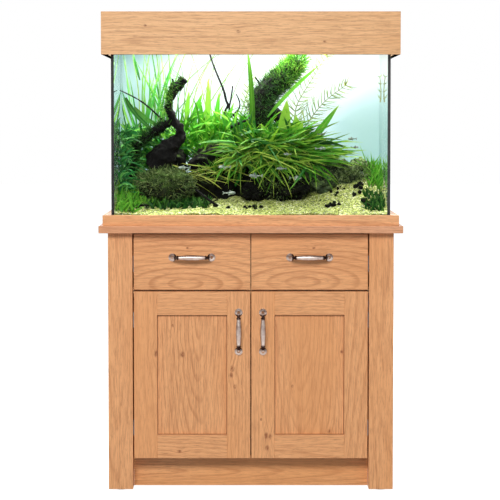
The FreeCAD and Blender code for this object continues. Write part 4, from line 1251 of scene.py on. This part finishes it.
def make_fish():
    """Small slim fish: a drawn-out body with tail, back and belly fins, modelled once and copied."""
    body = turned([(0.0, 0.0006), (0.0014, 0.0024), (0.004, 0.0040), (0.008, 0.0050), (0.013, 0.0050),
                   (0.019, 0.0038), (0.025, 0.0022), (0.030, 0.0014), (0.032, 0.0012)], 16)
    body.scale = (0.45, 1.0, 1.0)
    place_in_mesh(body)
    fins = []
    for outline in (((0.031, 0.0), (0.040, 0.0058), (0.038, 0.0), (0.040, -0.0058)),
                    ((0.011, 0.0045), (0.017, 0.0090), (0.020, 0.0035)),
                    ((0.015, -0.0045), (0.021, -0.0080), (0.023, -0.0025))):
        nothing_selected()
        bpy.ops.mesh.primitive_circle_add(vertices=len(outline), radius=0.001, fill_type="NGON")
        fin = bpy.context.object
        for vertex, (back, rise) in zip(fin.data.vertices, outline):
            vertex.co = (0.0, rise, back)
        applied(fin, "SOLIDIFY", thickness=0.0004, offset=0.0)
        fins.append(fin)
    pattern = joined([body] + fins)
    pattern.rotation_euler = (math.radians(90), 0, math.radians(90))
    place_in_mesh(pattern)
    copies = []
    # Each fish is (x, y, z, heading in degrees, size).
    for x, y, z, heading, size in (
            (-0.0046, -0.12, 0.9057, 0, 1.0), (0.1482, -0.12, 0.8997, 172, 0.95),
            (0.0748, -0.12, 0.9265, 8, 0.75), (-0.0442, -0.13, 0.856, 178, 0.95),
            (0.2871, 0.00, 1.012, 10, 0.70), (0.3188, 0.00, 0.9872, 188, 0.60),
            (0.2196, -0.10, 0.9842, 165, 0.85), (-0.0948, -0.10, 0.9305, 5, 0.95),
            (-0.2109, -0.10, 0.9285, 3, 0.90), (0.0956, -0.12, 0.9683, 20, 0.60),
            (0.3367, -0.02, 0.9116, 190, 0.8), (0.2176, -0.07, 1.0259, 185, 0.6)):
        copy = copy_of(pattern)
        copy.data.transform(Matrix.Translation((x, y, z)) @ Matrix.Rotation(math.radians(heading), 4, "Z")
                            @ Matrix.Scale(size, 4))
        copies.append(copy)
    thrown_away(pattern)
    finished(joined(copies), "small_fish", fish_finish(), 50.0)


WATER_SIZE = (0.782, 0.382)
WATER_LEVEL = 1.2815
WATER_THICKNESS = 0.0006


def make_water():
    """Thin surface of the water, just under the bracing glass."""
    nothing_selected()
    bpy.ops.mesh.primitive_grid_add(x_subdivisions=60, y_subdivisions=30, size=1.0)
    top = bpy.context.object
    top.scale = (*WATER_SIZE, 1.0)
    top.location = (0.0, 0.0, WATER_LEVEL)
    place_in_mesh(top)
    for vertex in top.data.vertices:
        vertex.co.z += 0.0006 * math.sin(31.0 * vertex.co.x) * math.cos(43.0 * vertex.co.y)
    applied(top, "SOLIDIFY", thickness=WATER_THICKNESS, offset=0.0)
    film = clear_sheet("Water surface", (0.97, 0.99, 0.99, 1.0), (1.0, 1.0, 1.0, 1.0), 0.04,
                       (0.40, 0.96, 0.02, 0.60), rippled=True)
    finished(top, "water_surface", film)


# ---------------------------------------------------------------- studio

EYE_SIDE = -0.0023
EYE_HEIGHT = 1.0577
EYE_DISTANCE = 6.0
TILT_DOWN = 3.46
FOCAL_LENGTH = 150.91
WORLD_LIGHT = 0.40
FLOOR_GLOW = 0.92
FRONT_POWER = 156.0
SIDE_POWER = 70.0
TANK_POWER = 9.5
WHITE = (1.0, 1.0, 1.0, 1.0)
CABINET_MIDDLE = (0, 0, 0.75)


def set_camera():
    eye = bpy.data.objects.new("Eye", bpy.data.cameras.new("Eye"))
    bpy.context.collection.objects.link(eye)
    eye.data.sensor_width = 36.0
    eye.data.lens = FOCAL_LENGTH
    eye.data.clip_end = 100.0
    eye.location = (EYE_SIDE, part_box("left_front_post")[0][1] - EYE_DISTANCE, EYE_HEIGHT)
    eye.rotation_euler = (math.radians(90.0 - TILT_DOWN), 0.0, 0.0)
    bpy.context.scene.camera = eye


def lay_floor():
    nothing_selected()
    bpy.ops.mesh.primitive_plane_add(size=60.0, location=(0, 0, 0))
    floor = bpy.context.object
    floor.name = "studio_floor"
    floor.visible_diffuse = False
    pale = Finish("Pale lit floor")
    colour = pale.blend(linear(196, 196, 196), linear(190, 190, 190), pale.noise(pale.place, 3.0))
    floor.data.materials.append(pale.done(pale.surface(
        colour, 0.9, Emission_Color=WHITE, Emission_Strength=FLOOR_GLOW, Specular_IOR_Level=0.0)))


def light_world():
    """White where it is seen, and a softer light on the object."""
    world = bpy.data.worlds.new("Studio")
    bpy.context.scene.world = world
    world.use_nodes = True
    tree = world.node_tree
    seen = tree.nodes["Background"]
    seen.inputs["Color"].default_value = WHITE
    around_it = tree.nodes.new("ShaderNodeBackground")
    around_it.inputs["Strength"].default_value = WORLD_LIGHT
    which = tree.nodes.new("ShaderNodeLightPath")
    either = tree.nodes.new("ShaderNodeMixShader")
    tree.links.new(which.outputs["Is Camera Ray"], either.inputs[0])
    tree.links.new(around_it.outputs[0], either.inputs[1])
    tree.links.new(seen.outputs[0], either.inputs[2])
    tree.links.new(either.outputs[0], tree.nodes["World Output"].inputs["Surface"])


def softbox(name, place, target, size, power, colour=WHITE[:3]):
    lamp = bpy.data.objects.new(name, bpy.data.lights.new(name, "AREA"))
    bpy.context.collection.objects.link(lamp)
    lamp.data.shape = "RECTANGLE"
    lamp.data.size, lamp.data.size_y = size
    lamp.data.energy = power
    lamp.data.color = colour
    lamp.location = place
    lamp.rotation_euler = (Vector(target) - Vector(place)).to_track_quat("-Z", "Y").to_euler()


def make_studio():
    set_camera()
    lay_floor()
    light_world()
    softbox("Front softbox", (-0.5, -4.4, 2.9), CABINET_MIDDLE, (1.6, 1.2), FRONT_POWER)
    softbox("Left softbox", (-4.5, 0.3, 2.4), CABINET_MIDDLE, (2.0, 2.0), SIDE_POWER)
    softbox("Right softbox", (4.5, 0.3, 2.4), CABINET_MIDDLE, (2.0, 2.0), SIDE_POWER)
    softbox("Back softbox", (0.0, 4.6, 2.6), CABINET_MIDDLE, (2.5, 2.0), SIDE_POWER)
    softbox("Tank lamp", (0.0, 0.025, 1.275), (0.0, 0.025, 0.8), (0.70, 0.20), TANK_POWER, (1.0, 1.0, 0.94))
    bpy.context.scene.view_settings.view_transform = "Standard"
    bpy.context.scene.view_settings.look = "None"


make_studio()
dress_cabinet()
dress_hardware()
make_handles()
make_gravel()
make_stones()
make_driftwood()
make_moss()
make_grasses()
make_ferns()
make_stems()
make_carpet()
make_fish()
make_water()
